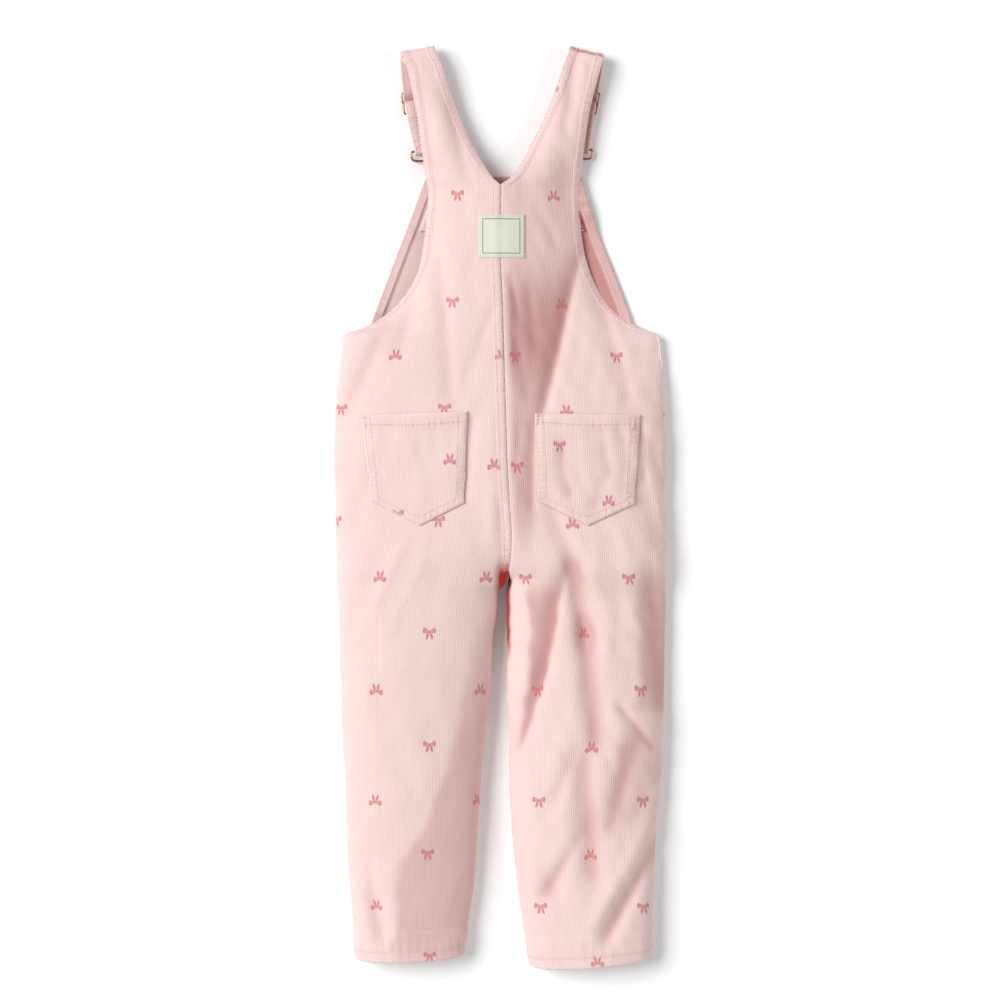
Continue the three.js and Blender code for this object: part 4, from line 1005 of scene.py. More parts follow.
            # Painted shade along the fold of the felled centre seam.
            sunk_shade += np.where(seam, 0.8 * np.exp(-((inn / 2.2) ** 2)), 0)
        band = HEM_BAND * smooth((LEG_HEM + 0.6 - hem_at) / 1.6)
        wave = pucker.height(out, hem_at * 0.25)
        ruffle = 0.34 * wave * np.exp(-(((hem_at - HEM_STITCH) / 8.0) ** 2))
        upper = 0.22 * wave * np.exp(-(((hem_at - LEG_HEM - 4) / 6.0) ** 2))
        row = np.exp(-(((hem_at - HEM_STITCH) / 0.8) ** 2))
        total += band + ruffle + upper - 0.3 * row
        # Painted shade in the hem's stitch trough and in its ruffle troughs.
        sunk_shade += 0.6 * row + 0.35 * np.clip(-wave, 0, 1) * np.exp(-((hem_at / 12) ** 2))
        return total, np.clip(sunk_shade, 0, 1)

    def build_wall(self) -> ClothWall:
        """Build the wall of the whole cut.

        Returns:
            The wall.
        """
        self.dense()
        middle = self.columns(self.dome())
        rows = self.rows
        facing = -self.side.value
        normal = grid_normals(middle, facing)
        strap = rows["flat"][:, None] > 0
        # Puckers that run in from the side and inside-leg seams
        side = Ripples(31 + self.side.value, 9, 26, 9, 0.0, 0.9)
        s = rows["s"][:, None] + 0 * self.from_outer
        steep = smooth((WAIST_Y + 6 - rows["yo"][:, None]) / 12)
        gather = 0.45 * side.height(s, self.from_outer * 0.35) * steep
        gather = gather * np.exp(-((self.from_outer / 22) ** 2)) * smooth(self.from_outer / 3)
        leg = smooth((CROTCH_Y - rows["yi"][:, None]) / 20)
        inseam = 0.4 * side.height(s + 500, self.from_inner * 0.35) * leg
        inseam = inseam * np.exp(-((self.from_inner / 20) ** 2)) * smooth(self.from_inner / 3)
        broad = Ripples(51 + self.side.value, 28, 75, 10).height(middle[..., 0], middle[..., 1])
        broad = 0.45 * broad * smooth(self.from_outer / 18) * smooth(self.from_inner / 18)
        slack = Ripples(61 + self.side.value, 9, 24, 12, 0.25, 1.5)
        slack = slack.height(middle[..., 0], middle[..., 1])
        much = 0.14 + 0.10 * (1 + self.side.value) / 2
        broad = broad + much * slack * smooth(self.from_outer / 10) * smooth(self.from_inner / 8)
        lift = np.where(strap, 0, gather + inseam + broad)
        middle = middle + normal * lift[..., None]
        normal = grid_normals(middle, facing)
        upright = smooth((STEEP_SEAM - rows["ai"]) / 14) * (rows["yi"] < NECK_Y + 1) * (rows["flat"] < 1)
        if self.side is Side.RIGHT:
            # The right panel runs in under the felled edge of the left one
            under = 1.4 * smooth(1 - (self.from_inner - 0.5) / 1.5) * upright[:, None]
            middle = middle - np.array([0, 0, 1.0]) * under[..., None]
            normal = grid_normals(middle, facing)
        near = smooth(1 - self.from_inner / 3.0) * upright[:, None]
        normal = normal * (1 - near[..., None]) + np.array([0, 0, 1.0]) * near[..., None]
        normal /= np.linalg.norm(normal, axis=2, keepdims=True)
        hem_at = rows["s"][-1] - s
        start_at = s
        end = np.minimum(self.from_outer, np.minimum(hem_at, start_at))
        rounding = edge_round(np.minimum(end, self.from_inner), 1.2)
        relief, seam = self.relief()
        turned = np.minimum(end / 0.9, self.from_inner / (0.9 + 1.3 * upright[:, None]))
        outer = BACK_WALL / 2 * rounding + relief * smooth(turned)
        inner = BACK_WALL / 2 * rounding
        edge = np.minimum(self.from_outer, self.from_inner)
        # Pale edges: rubbing, and painted highlight along the turned edges.
        wear_and_highlight = np.exp(-((edge / 1.6) ** 2)) + np.exp(-((hem_at / 1.6) ** 2))
        self.wall = ClothWall(
            middle, normal, outer, inner, self.cloth_places(middle), facing,
            np.clip(wear_and_highlight, 0, 1), self.shade(middle), seam,
        )
        return self.wall

    def cloth_places(self, middle: np.ndarray) -> np.ndarray:
        """Place of every point in the print.

        Args:
            middle: Middle points of the wall.

        Returns:
            Distance from the grain line and level. The right panel's print runs upside down.
        """
        s = self.rows["s"]
        strap = self.rows["flat"] > 0
        first = int(np.argmin(strap))
        on_strap = (middle[first, :, 1].mean() + s[first] - s)[:, None]
        level = print_level(self.levels, np.where(strap[:, None], on_strap, middle[..., 1]))
        across = self.from_outer - self.grain_at[:, None]
        if self.side is Side.RIGHT:
            return np.stack([across, 2 * BOW_START - level], axis=2)
        return np.stack([across, level], axis=2)

    def shade(self, middle: np.ndarray) -> np.ndarray:
        """Painted shade: how much each point lies in a fold, on a plane facing away from the light or in the
        crotch, and a set amount on the strap's front run, from 0 to 1.

        Args:
            middle: Middle points of the wall.

        Returns:
            The share.
        """
        x, y, z = middle[..., 0], middle[..., 1], middle[..., 2]
        folds = self.gain * trough_depth(FOLDS, x, y) + trough_depth(SMALL_FOLDS, x, y)
        # Painted shade in the folds.
        total = 0.30 * np.clip(folds / 5.0, -0.3, 1.1)
        # Painted shade on the planes that face away from the light, much heavier on the left panel.
        for facet in self.facets:
            total = total + (2.9 if self.side is Side.LEFT else 1.0) * facet.shade(x, y)
        if self.side is Side.LEFT:
            # Painted dark red shade in the crotch of the left panel.
            total = total + 0.95 * smooth((-38 - y) / 17) * smooth((x + 7) / 8) * smooth((y + 69) / 5)
        else:
            # Painted shade on the inside-leg ledge below the crotch, where the left leg shades it.
            ledge = smooth((-46 - y) / 10) * smooth((y + 130) / 30) * smooth((20 - z) / 6)
            total = total + 0.9 * ledge * smooth(1 - self.from_inner / 23)
        # Painted shade on the strap's front run under the back: heavy on the right strap, light on the left.
        front = 0.56 if self.side is Side.RIGHT else 0.1
        return np.where(self.rows["flat"][:, None] > 0, front, np.clip(total, 0, 1))

    def seam_rows(self) -> Rows:
        """Paths of all the stitch rows on the outer face with their normals."""
        points = self.wall.outer_points()
        normal = self.wall.normal
        rows = self.rows
        strap = rows["flat"] > 0
        free = ((rows["yo"] > WAIST_Y + 3) & ~strap) | strap
        left = self.side is Side.LEFT
        inner = (rows["yi"] > NECK_Y + 1) | strap | (left & (rows["yi"] > CROTCH_Y + 8))
        paths = []
        last = points.shape[1] - 1
        for distance in STITCH_ROWS:
            column = EDGE_COLUMNS.index(distance)
            for here, j in ((free, column), (inner, last - column)):
                keep = np.nonzero(here)[0]
                for part in np.split(keep, np.nonzero(np.diff(keep) > 1)[0] + 1):
                    if len(part) > 3:
                        paths.append((points[part, j], normal[part, j]))
        hem = int(np.argmin(np.abs(rows["s"][-1] - rows["s"] - HEM_STITCH)))
        paths.append((points[hem, 2:-2], normal[hem, 2:-2]))
        return paths

    def sizes(self) -> tuple[float, float, float]:
        """Flat width, length and area of the cut in metres."""
        width = float(self.from_outer[:, -1].max()) * METRE
        length = float(self.rows["s"][-1]) * METRE
        return width, length, self.wall.area() * METRE**2

    def surface(self) -> BVHTree:
        """Outer face as a tree for laying other pieces on it."""
        rows, cols = self.wall.middle.shape[:2]
        points = self.wall.outer_points().reshape(-1, 3)
        first = int(np.argmin(self.rows["flat"] > 0))
        ids = np.arange(rows * cols).reshape(rows, cols)[first:]
        faces = np.stack([ids[:-1, :-1], ids[1:, :-1], ids[1:, 1:], ids[:-1, 1:]], -1)
        return BVHTree.FromPolygons(points.tolist(), faces.reshape(-1, 4).tolist())


STEEP_SEAM = 79.0


def height_on(trees: Sequence[BVHTree], x: np.ndarray, y: np.ndarray) -> np.ndarray:
    """Height of what lies uppermost at places in plan.

    Args:
        trees: Surfaces.
        x: Places.
        y: Places.

    Returns:
        Heights; a place beside every surface gets the nearest known height.
    """
    z = np.full(x.shape, np.nan)
    down = Vector((0, 0, -1))
    for index in np.ndindex(x.shape):
        best = -1.0
        for tree in trees:
            hit = tree.ray_cast(Vector((float(x[index]), float(y[index]), 200.0)), down)
            if hit[0] is not None:
                best = max(best, hit[0].z)
        if best > 0:
            z[index] = best
    known = np.nonzero(~np.isnan(z))
    for index in zip(*np.nonzero(np.isnan(z))):
        away = (x[known] - x[index]) ** 2 + (y[known] - y[index]) ** 2
        z[index] = z[known][np.argmin(away)]
    return z


def soften(z: np.ndarray, passes: int) -> np.ndarray:
    """Even out a height field without moving its mean."""
    for _ in range(passes):
        p = np.pad(z, 1, mode="edge")
        z = (p[:-2, 1:-1] + p[2:, 1:-1] + p[1:-1, :-2] + p[1:-1, 2:] + 4 * z) / 8
    return z


def spaced(length: float, step: float, edges: Sequence[float] = EDGE_COLUMNS) -> np.ndarray:
    """Places along a length, close together at both ends.

    Args:
        length: The whole length.
        step: Longest step in the middle.
        edges: Distances from either end.

    Returns:
        Rising places from 0 to the length.
    """
    near = np.array([e for e in edges if e < length * 0.45])
    inner = length - 2 * near[-1]
    count = max(1, math.ceil(inner / step))
    middle = near[-1] + inner * np.arange(1, count) / count
    return np.concatenate([near, middle, length - near[::-1]])


@dataclass
class BackPocket:
    """Patch pocket with a pointed foot, sewn on a back panel."""

    side: Side
    top_out: tuple[float, float]
    top_in: tuple[float, float]
    low_out: tuple[float, float]
    low_in: tuple[float, float]
    point: tuple[float, float]
    print_at: tuple[float, float]
    hem: float = 10.0
    gape: float = 1.1
    wall: ClothWall = field(init=False)
    across: np.ndarray = field(init=False)
    down: np.ndarray = field(init=False)

    def plan(self) -> tuple[np.ndarray, np.ndarray, np.ndarray]:
        """Grid of places in plan with the distance from sides and from foot."""
        width = abs(self.top_in[0] - self.top_out[0])
        depth = self.top_out[1] - self.point[1]
        self.across = spaced(width, 1.6)
        self.down = spaced(depth, 1.6)
        u = (self.across / width)[None, :]
        v = (self.down / depth)[:, None]
        half = (self.point[0] - self.low_out[0]) / (self.low_in[0] - self.low_out[0])
        foot = np.where(
            u < half,
            self.low_out[1] + (self.point[1] - self.low_out[1]) * u / half,
            self.point[1] + (self.low_in[1] - self.point[1]) * (u - half) / (1 - half),
        )
        tx = self.top_out[0] + (self.top_in[0] - self.top_out[0]) * u
        ty = self.top_out[1] + (self.top_in[1] - self.top_out[1]) * u
        lx = self.low_out[0] + (self.low_in[0] - self.low_out[0]) * u
        x = tx + (lx - tx) * v
        y = ty + (foot - ty) * v
        waver = Ripples(71 + self.side.value, 16, 40, 5, math.pi / 2, 0.3)
        x = x + 0.5 * waver.height(0 * y, y) * (np.abs(u - 0.5) * 2) ** 4
        return x, y, np.broadcast_to(u, x.shape)

    def build_wall(self, tree: BVHTree) -> ClothWall:
        """Lay the pocket on its panel.

        Args:
            tree: The panel's outer face.

        Returns:
            The wall.
        """
        x, y, u = self.plan()
        under = height_on([tree], x, y)
        z = np.maximum(soften(under, 6), under + 0.05)
        z = soften(z, 2)
        sides = np.minimum(self.across, self.across[-1] - self.across)[None, :] + 0 * x
        foot = (self.down[-1] - self.down)[:, None] + 0 * x
        top = self.down[:, None] + 0 * x
        open_top = np.exp(-((top / 14) ** 2)) * (1 - (2 * u - 1) ** 2)
        hang = Ripples(81 + self.side.value, 18, 50, 7).height(x, y)
        body = smooth(sides / 12) * smooth(foot / 12)
        z = z + self.gape * open_top + body * (0.4 + 0.3 * hang)
        z = z - crease_depth(POCKET_CREASES, x, y) * smooth(sides / 8) * smooth(foot / 8)
        middle = np.stack([x, y, z + POCKET_WALL / 2 + 0.12], axis=2)
        facing = -self.side.value
        normal = grid_normals(middle, facing)
        edge = np.minimum(np.minimum(sides, foot), top)
        seam = np.minimum(sides, foot)
        pucker = Ripples(91 + self.side.value, 3.4, 6.2, 8, 0.0, 0.5)
        wave = np.where(sides < foot, pucker.height(y, x * 0.25), pucker.height(x, y * 0.25))
        wave = np.where(top < self.hem + 3, pucker.height(x, y * 0.25), wave)
        relief = HEM_BAND * smooth((EDGE_TURN + 2.4 - seam) / 1.0) * 0.6
        relief = np.maximum(relief, HEM_BAND * smooth((self.hem + 0.5 - top) / 1.0))
        rows = sum(np.exp(-(((seam - distance) / 0.6) ** 2)) for distance in (1.4, 7.1))
        rows = rows + 0.35 * np.exp(-(((top - self.hem + 1.0) / 0.6) ** 2))
        spread = np.exp(-(((seam - 4.2) / 3.4) ** 2)) + np.exp(-(((top - self.hem) / 4.5) ** 2))
        relief += 0.36 * wave * spread - 0.26 * np.clip(rows, 0, 1)
        # Painted shade in the stitch rows and pucker troughs.
        sunk_shade = np.clip(0.5 * rows + 0.6 * np.clip(-wave, 0, 1) * spread, 0, 1)
        rounding = edge_round(edge, 1.0)
        outer = POCKET_WALL / 2 * edge_round(edge, 2.2, 0.12) + relief * smooth(edge / 2.0)
        inner = POCKET_WALL / 2 * rounding
        arc = np.concatenate(
            [np.zeros((len(x), 1)), np.cumsum(np.linalg.norm(np.diff(middle, axis=1), axis=2), axis=1)], 1
        )
        outward = -self.side.value
        start = np.array([np.interp(0, (x[i] - self.print_at[0]) * outward, arc[i]) for i in range(len(x))])
        cloth = np.stack([(arc - start[:, None]) * outward, y - self.print_at[1]], axis=2)
        # Pale edges: rubbing, and painted highlight along the turned edges.
        wear_and_highlight = np.clip(np.exp(-((edge / 1.5) ** 2)), 0, 1)
        # Painted shade: fold shade on the right pocket and a dark line along the sewn edges, which on the
        # left pocket runs only on its right half.
        folds = np.clip(crease_depth(POCKET_CREASES, x, y), -0.3, 1.0)
        left = self.side is Side.LEFT
        rim = 0.5 * np.exp(-((seam / 0.9) ** 2)) * smooth(top / 2)
        rim = rim * (smooth((u - 0.5) / 0.3) if left else 1.0)
        painted_shade = np.clip(rim + (0 if left else 0.24) * folds, 0, 1)
        self.wall = ClothWall(middle, normal, outer, inner, cloth, facing, wear_and_highlight, painted_shade, sunk_shade)
        return self.wall

    def seam_rows(self) -> Rows:
        """Paths of the stitch rows: two round sides and foot, one under the top hem."""
        points = self.wall.outer_points()
        normal = self.wall.normal
        paths = []
        rows, cols = points.shape[:2]
        top = int(np.argmin(np.abs(self.down - self.hem + 1.0)))
        for distance in (1.4, 7.1):
            k = EDGE_COLUMNS.index(distance)
            i, j = rows - 1 - k, cols - 1 - k
            line = [(r, k) for r in range(2, i)] + [(i, c) for c in range(k, j)]
            line += [(r, j) for r in range(i, 1, -1)]
            r, c = np.array(line).T
            paths.append((points[r, c], normal[r, c]))
        paths.append((points[top, 3:-3], normal[top, 3:-3]))
        return paths

    def tacks(self) -> Rows:
        """Short close rows that lock both upper corners."""
        points = self.wall.outer_points()
        normal = self.wall.normal
        cols = points.shape[1]
        made = []
        for j0, j1 in ((1, 9), (cols - 10, cols - 2)):
            for i in (3, 5):
                made.append((points[i, j0:j1], normal[i, j0:j1]))
        return made

    def sizes(self) -> tuple[float, float, float]:
        """Flat width, length and area of the cut in metres, turned edges apart."""
        return (
            float(self.across[-1]) * METRE,
            float(self.down[-1]) * METRE,
            self.wall.area() * METRE**2,
        )


@dataclass
class LegFront:
    """Front of a leg: it lies on the floor and turns up to its seams."""

    side: Side
    sections: list[Section]
    curl: float = 10.0
    split_y: float = -56.0
    rise_from: float = -42.0
    rise_over: float = 22.0
    pitch: float = 4.0
    wall: ClothWall = field(init=False)

    def build_wall(self) -> ClothWall:
        """Build the leg front.

        Returns:
            The wall.
        """
        below = [s for s in self.sections if s.yi < WAIST_Y + 3]
        y = np.array([-s.yi for s in below])
        legs = [s for s in below if s.yi < CROTCH_Y]
        top = WAIST_Y - SEAM_GAP / 2
        levels = np.linspace(top, below[-1].yi, math.ceil((top - below[-1].yi) / self.pitch))
        at = -levels
        outer = curve_through(y, [s.xo for s in below], at)
        outer_y = curve_through(y, [s.yo - s.yi for s in below], at)
        sag = curve_through(y, [s.sag for s in below], at)
        leg_x = curve_through(
            [-s.yi for s in legs], [s.xi for s in legs], -np.minimum(levels, CROTCH_Y - 0.2)
        )
        joined = seam_x(np.maximum(levels, self.split_y + 2)) + self.side.value * SEAM_GAP / 2
        xi = joined + (leg_x - joined) * smooth((self.split_y + 4 - levels) / 9)
        rise = smooth((self.rise_from - levels) / self.rise_over)
        yo = levels + np.where(np.arange(len(levels)) == 0, 0, outer_y)
        turn_up = SIDE_SEAM_Z - SEAM_GAP - FRONT_WALL / 2
        turns = np.radians(np.linspace(90, 4, 12))
        inset = self.curl * (1 - np.sin(turns))
        lift = turn_up * (1 - np.cos(turns))
        width = np.abs(xi - outer)
        middle_share = np.arange(1, 24) / 24
        reach = inset[-1] / width
        share = np.concatenate(
            [
                inset[None, :] / width[:, None],
                reach[:, None] + (1 - 2 * reach[:, None]) * middle_share[None, :],
                1 - inset[None, ::-1] / width[:, None],
            ],
            axis=1,
        )
        low = np.concatenate([lift, np.zeros(23), 0 * lift])
        high = np.concatenate([0 * lift, np.zeros(23), lift[::-1]])
        hang = sag[:, None] * np.sqrt(np.clip(1 - (2 * share - 1) ** 2, 0, 1))
        x = outer[:, None] + (xi - outer)[:, None] * share
        yy = yo[:, None] + (levels - yo)[:, None] * share - hang
        z = FRONT_WALL / 2 + low[None, :] + rise[:, None] * high[None, :]
        flat = smooth(share * width[:, None] / 16) * smooth((1 - share) * width[:, None] / 16)
        dent = Ripples(101 + self.side.value, 22, 60, 9).height(x, yy)
        z = z + flat * np.clip(dent - 0.15, 0, 1) * 0.9
        middle = np.stack([x, yy, z], axis=2)
        facing = -self.side.value
        normal = grid_normals(middle, facing)
        up = (levels > self.split_y)[:, None] * smooth(1 - (1 - share) * width[:, None] / 3)
        normal = normal * (1 - up[..., None]) + np.array([0, 0, 1.0]) * up[..., None]
        normal /= np.linalg.norm(normal, axis=2, keepdims=True)
        s = (levels[0] - levels)[:, None] + 0 * share
        edge = np.minimum(share, 1 - share) * width[:, None]
        rounding = edge_round(np.minimum(edge + 0.05, np.minimum(s, s[-1] - s) + 0.05), 1.1)
        thick = FRONT_WALL / 2 * rounding
        grain = -52.0 if self.side is Side.LEFT else 60.0
        cloth = np.stack([-(x - grain), yy + 21.0], axis=2)
        # Painted dark red shade in the crotch, where the front turns up between the legs.
        crotch = smooth((-34 - yy) / 12) * smooth((yy + 150) / 60) * smooth((18 - np.abs(x)) / 6)
        wear_and_highlight = np.zeros(x.shape)
        self.wall = ClothWall(middle, normal, thick, thick, cloth, facing, wear_and_highlight, 0.9 * crotch)
        self.width = float(width.max() + 2 * (math.pi / 2 - 1) * self.curl)
        self.length = float(levels[0] - levels[-1])
        return self.wall

    def sizes(self) -> tuple[float, float, float]:
        """Flat width, length and area of the cut in metres."""
        return self.width * METRE, self.length * METRE, self.wall.area() * METRE**2


@dataclass
class Bib:
    """Front bib with its turned sides and the facing on its inner side."""

    strip: float = 8.0
    facing_end: float = 215.5
    rise_from: float = 203.0
    rise_over: float = 36.0
    curl_reach: float = 10.0
    wall: ClothWall = field(init=False)
    facing_wall: ClothWall = field(init=False)

    def level(self, y: np.ndarray, inset: float, near: bool) -> tuple[np.ndarray, ...]:
        """Middle points of the bib's surface.

        Args:
            y: Levels from the top down.
            inset: Distance kept from both sides.
            near: Whether columns stand close at both sides.

        Returns:
            Points, and distances from the two sides.
        """
        rows = list(reversed(BIB_SECTIONS))
        knots = [r.y for r in rows]
        left = curve_through(knots, [r.left for r in rows], y)
        right = curve_through(knots, [r.right for r in rows], y)
        curl = curve_through(knots, [r.curl for r in rows], y)
        width = right - left - 2 * inset
        if near:
            edge = np.array(EDGE_COLUMNS)
            middle = np.arange(1, 40) / 40
            reach = edge[-1]
            places = np.concatenate(
                [
                    np.broadcast_to(edge, (len(y), len(edge))),
                    reach + (width[:, None] - 2 * reach) * middle[None, :],
                    width[:, None] - edge[None, ::-1],
                ],
                axis=1,
            )
        else:
            places = width[:, None] * np.linspace(0, 1, 60)[None, :]
        x = left[:, None] + inset + places
        side = np.minimum(x - left[:, None], right[:, None] - x)
        turned = curl[:, None] * np.clip(1 - side / self.curl_reach, 0, 1) ** 2
        lift = BIB_LIFT * smooth((y - self.rise_from) / self.rise_over)
        z = FRONT_WALL / 2 + lift[:, None] + turned
        yy = np.broadcast_to(y[:, None], x.shape)
        return np.stack([x, yy, z], axis=2), side, width

    def build_walls(self) -> None:
        """Build the bib and its facing."""
        top, low = BIB_SECTIONS[0].y, BIB_SECTIONS[-1].y
        y = top - spaced(top - low, 1.8)
        middle, side, width = self.level(y, 0.0, True)
        normal = grid_normals(middle, 1)
        from_top = (top - y)[:, None] + 0 * side
        from_low = (y - low)[:, None] + 0 * side
        wave = Ripples(121, 5, 12, 8).height(middle[..., 0], middle[..., 1])
        relief = HEM_BAND * smooth((self.strip - side) / 0.7) * smooth(from_low / 2)
        relief -= 0.35 * np.exp(-(((side - self.strip - 0.3) / 0.6) ** 2))
        relief -= 0.28 * np.exp(-(((side - 1.4) / 0.55) ** 2))
        relief += 0.14 * wave * np.exp(-(((side - 4) / 3) ** 2))
        relief += 0.25 * Ripples(122, 20, 50, 8).height(middle[..., 0], middle[..., 1]) * smooth(
            (side - self.strip) / 14
        )
        edge = np.minimum(side, np.minimum(from_top, from_low)) + 0.03
        rounding = edge_round(edge, 1.0)
        outer = FRONT_WALL / 2 * rounding + relief * smooth(edge / 0.9)
        inner = FRONT_WALL / 2 * rounding
        cloth = middle[..., :2] * np.array([-1.0, 1.0]) + np.array([12.0, 9.0])
        # Pale edges: rubbing, and painted highlight along the turned sides.
        wear_and_highlight = np.clip(np.exp(-((side / 1.5) ** 2)), 0, 1)
        # Painted shade: a dark line just inside the turned strip, in the stitch rows and in pucker troughs.
        rows = np.exp(-(((side - 1.4) / 0.6) ** 2)) + np.exp(-(((side - 6.5) / 0.6) ** 2))
        band = np.exp(-(((side - 4.2) / 3.0) ** 2))
        sunk_shade = np.exp(-(((side - self.strip - 0.4) / 0.7) ** 2))
        sunk_shade = np.clip(0.5 * rows + 0.5 * np.clip(-wave, 0, 1) * band + 0.95 * sunk_shade, 0, 1)
        painted_shade = self.shade(middle, side)
        self.wall = ClothWall(middle, normal, outer, inner, cloth, 1, wear_and_highlight, painted_shade, sunk_shade)
        inset = self.strip + 2 * TRIM_WALL
        y = np.linspace(top - 0.6, self.facing_end, 40)
        middle, side, _ = self.level(y, inset, False)
        under = FRONT_WALL / 2 + SEAM_GAP
        ripple = Ripples(131, 10, 26, 8).height(middle[..., 0], middle[..., 1])
        z = under + TRIM_WALL / 2 + 0.18 * (1 + ripple) / 2
        middle = middle + np.array([0, 0, 1.0]) * np.asarray(z)[..., None]
        normal = grid_normals(middle, 1)
        ends = np.minimum((y[0] - y)[:, None], (y - y[-1])[:, None])
        edge = np.minimum(side - inset, ends) + 0.1
        half = TRIM_WALL / 2 * edge_round(edge, 1.0)
        cloth = middle[..., :2] * np.array([1.0, 1.0])
        wear_and_highlight = np.zeros(side.shape)
        self.facing_wall = ClothWall(
            middle, normal, half, half, cloth, 1, wear_and_highlight, self.shade(middle, side)
        )

    def shade(self, middle: np.ndarray, side: np.ndarray) -> np.ndarray:
        """Painted shade inside the bib: more under the back's right half and at the neck.

        Args:
            middle: Middle points of the wall.
            side: Distance from the nearer side.

        Returns:
            A share from 0 to 1.
        """
        x, y = middle[..., 0], middle[..., 1]
        cloud = 0.5 + 0.5 * Ripples(151, 7, 18, 9).height(x, y)
        right = smooth((x - 12) / 40) * (0.28 + 0.44 * smooth((side - self.strip) / 1.5))
        neck = smooth((34 - np.abs(x)) / 10) * smooth((y - 222) / 20)
        upper = smooth((y - 205) / 24) * smooth((x - 30) / 20) * 0.25
        return np.clip(right + upper * cloud + neck * (0.3 + 0.3 * cloud), 0, 0.95)

    def seam_rows(self) -> Rows:
        """Stitch rows along both turned sides."""
        points = self.wall.outer_points()
        normal = self.wall.normal
        last = points.shape[1] - 1
        paths = []
        for distance in (1.4, 6.5):
            k = EDGE_COLUMNS.index(distance)
            for j in (k, last - k):
                paths.append((points[2:-14, j], normal[2:-14, j]))
        return paths

    def facing_row(self) -> tuple[np.ndarray, np.ndarray]:
        """Overlocked lower edge of the facing."""
        points = self.facing_wall.outer_points()
        return points[-2], self.facing_wall.normal[-2]


@dataclass
class NeckLabel:
    """Plain woven label over the centre-back seam."""

    x0: float = -17.0
    x1: float = 19.0
    y0: float = 194.0
    y1: float = 228.0
    wall: ClothWall = field(init=False)

    def build_wall(self, trees: Sequence[BVHTree]) -> ClothWall:
        """Lay the label on both panels.

        Args:
            trees: Outer faces of the panels.

        Returns:
            The wall.
        """
        across = spaced(self.x1 - self.x0, 1.2, (0.0, 0.3, 0.8, 1.4, 2.2))
        down = spaced(self.y1 - self.y0, 1.2, (0.0, 0.3, 0.8, 1.4, 2.2))
        x, y = np.meshgrid(self.x0 + across, self.y1 - down)
        under = height_on(trees, x, y)
        z = np.maximum(soften(under, 14), under)
        z = soften(z, 6)
        edge = np.minimum(
            np.minimum(x - self.x0, self.x1 - x), np.minimum(y - self.y0, self.y1 - y)
        )
        ripple = Ripples(141, 14, 34, 6).height(x, y)
        z = z + TRIM_WALL / 2 + 0.1 + 0.22 * (1 + ripple) * smooth(edge / 4)
        middle = np.stack([x, y, z], axis=2)
        normal = grid_normals(middle, 1)
        rounding = edge_round(edge, 0.9)
        outer = TRIM_WALL / 2 * rounding - 0.2 * np.exp(-(((edge - 1.4) / 0.5) ** 2))
        inner = TRIM_WALL / 2 * rounding
        cloth = np.stack([x - (self.x0 + self.x1) / 2, y - (self.y0 + self.y1) / 2], axis=2)
        self.wall = ClothWall(middle, normal, outer, inner, cloth, 1)
        return self.wall

    def seam_row(self) -> tuple[np.ndarray, np.ndarray]:
        """Stitch row round the label."""
        points = self.wall.outer_points()
        rows, cols = points.shape[:2]
        k = 3
        line = [(k, c) for c in range(k, cols - k)]
        line += [(r, cols - 1 - k) for r in range(k, rows - k)]
        line += [(rows - 1 - k, c) for c in range(cols - 1 - k, k - 1, -1)]
        line += [(r, k) for r in range(rows - 1 - k, k - 1, -1)]
        r, c = np.array(line).T
        return points[r, c], self.wall.normal[r, c]


def smooth_loop(path: np.ndarray, each: int, closed: bool = True) -> np.ndarray:
    """Pass a smooth line through points.

    Args:
        path: The points.
        each: Steps between two of them.
        closed: Whether the line closes on itself.

    Returns:
        The finer line.
    """
    n = len(path)
    made = []
    for i in range(n if closed else n - 1):
        ids = [i - 1, i, i + 1, i + 2]
        p0, p1, p2, p3 = (
            path[k % n] if closed else path[min(n - 1, max(0, k))] for k in ids
        )
        for t in np.arange(each) / each:
            made.append(
                0.5
                * (
                    2 * p1
                    + (p2 - p0) * t
                    + (2 * p0 - 5 * p1 + 4 * p2 - p3) * t**2
                    + (3 * p1 - p0 - 3 * p2 + p3) * t**3
                )
            )
    if not closed:
        made.append(path[-1])
    return np.array(made)


def wire(
    path: np.ndarray, radius: float, closed: bool = True, sides: int = 14
) -> tuple[np.ndarray, list[list[int]]]:
    """A round wire along a flat path.

    Args:
        path: Points of its middle line in plan.
        radius: The wire's radius.
        closed: Whether it closes on itself.
        sides: Faces round it.

    Returns:
        Points and faces.
    """
    n = len(path)
    if closed:
        tangent = np.roll(path, -1, 0) - np.roll(path, 1, 0)
    else:
        tangent = np.gradient(path, axis=0)
    tangent /= np.linalg.norm(tangent, axis=1, keepdims=True)
    side = np.stack([tangent[:, 1], -tangent[:, 0]], 1)
    turns = 2 * np.pi * np.arange(sides) / sides
    plan = path[:, None, :] + side[:, None, :] * (radius * np.cos(turns))[None, :, None]
    height = np.broadcast_to(radius * np.sin(turns), (n, sides))
    points = np.concatenate([plan, height[..., None]], axis=2).reshape(-1, 3)
    faces = []
    for i in range(n if closed else n - 1):
        a, b = i * sides, ((i + 1) % n) * sides
        for k in range(sides):
            k1 = (k + 1) % sides
            faces.append([a + k, b + k, b + k1, a + k1])
    if not closed:
        faces.append(list(range(sides)))
        faces.append([(n - 1) * sides + k for k in range(sides)][::-1])
    return points, faces


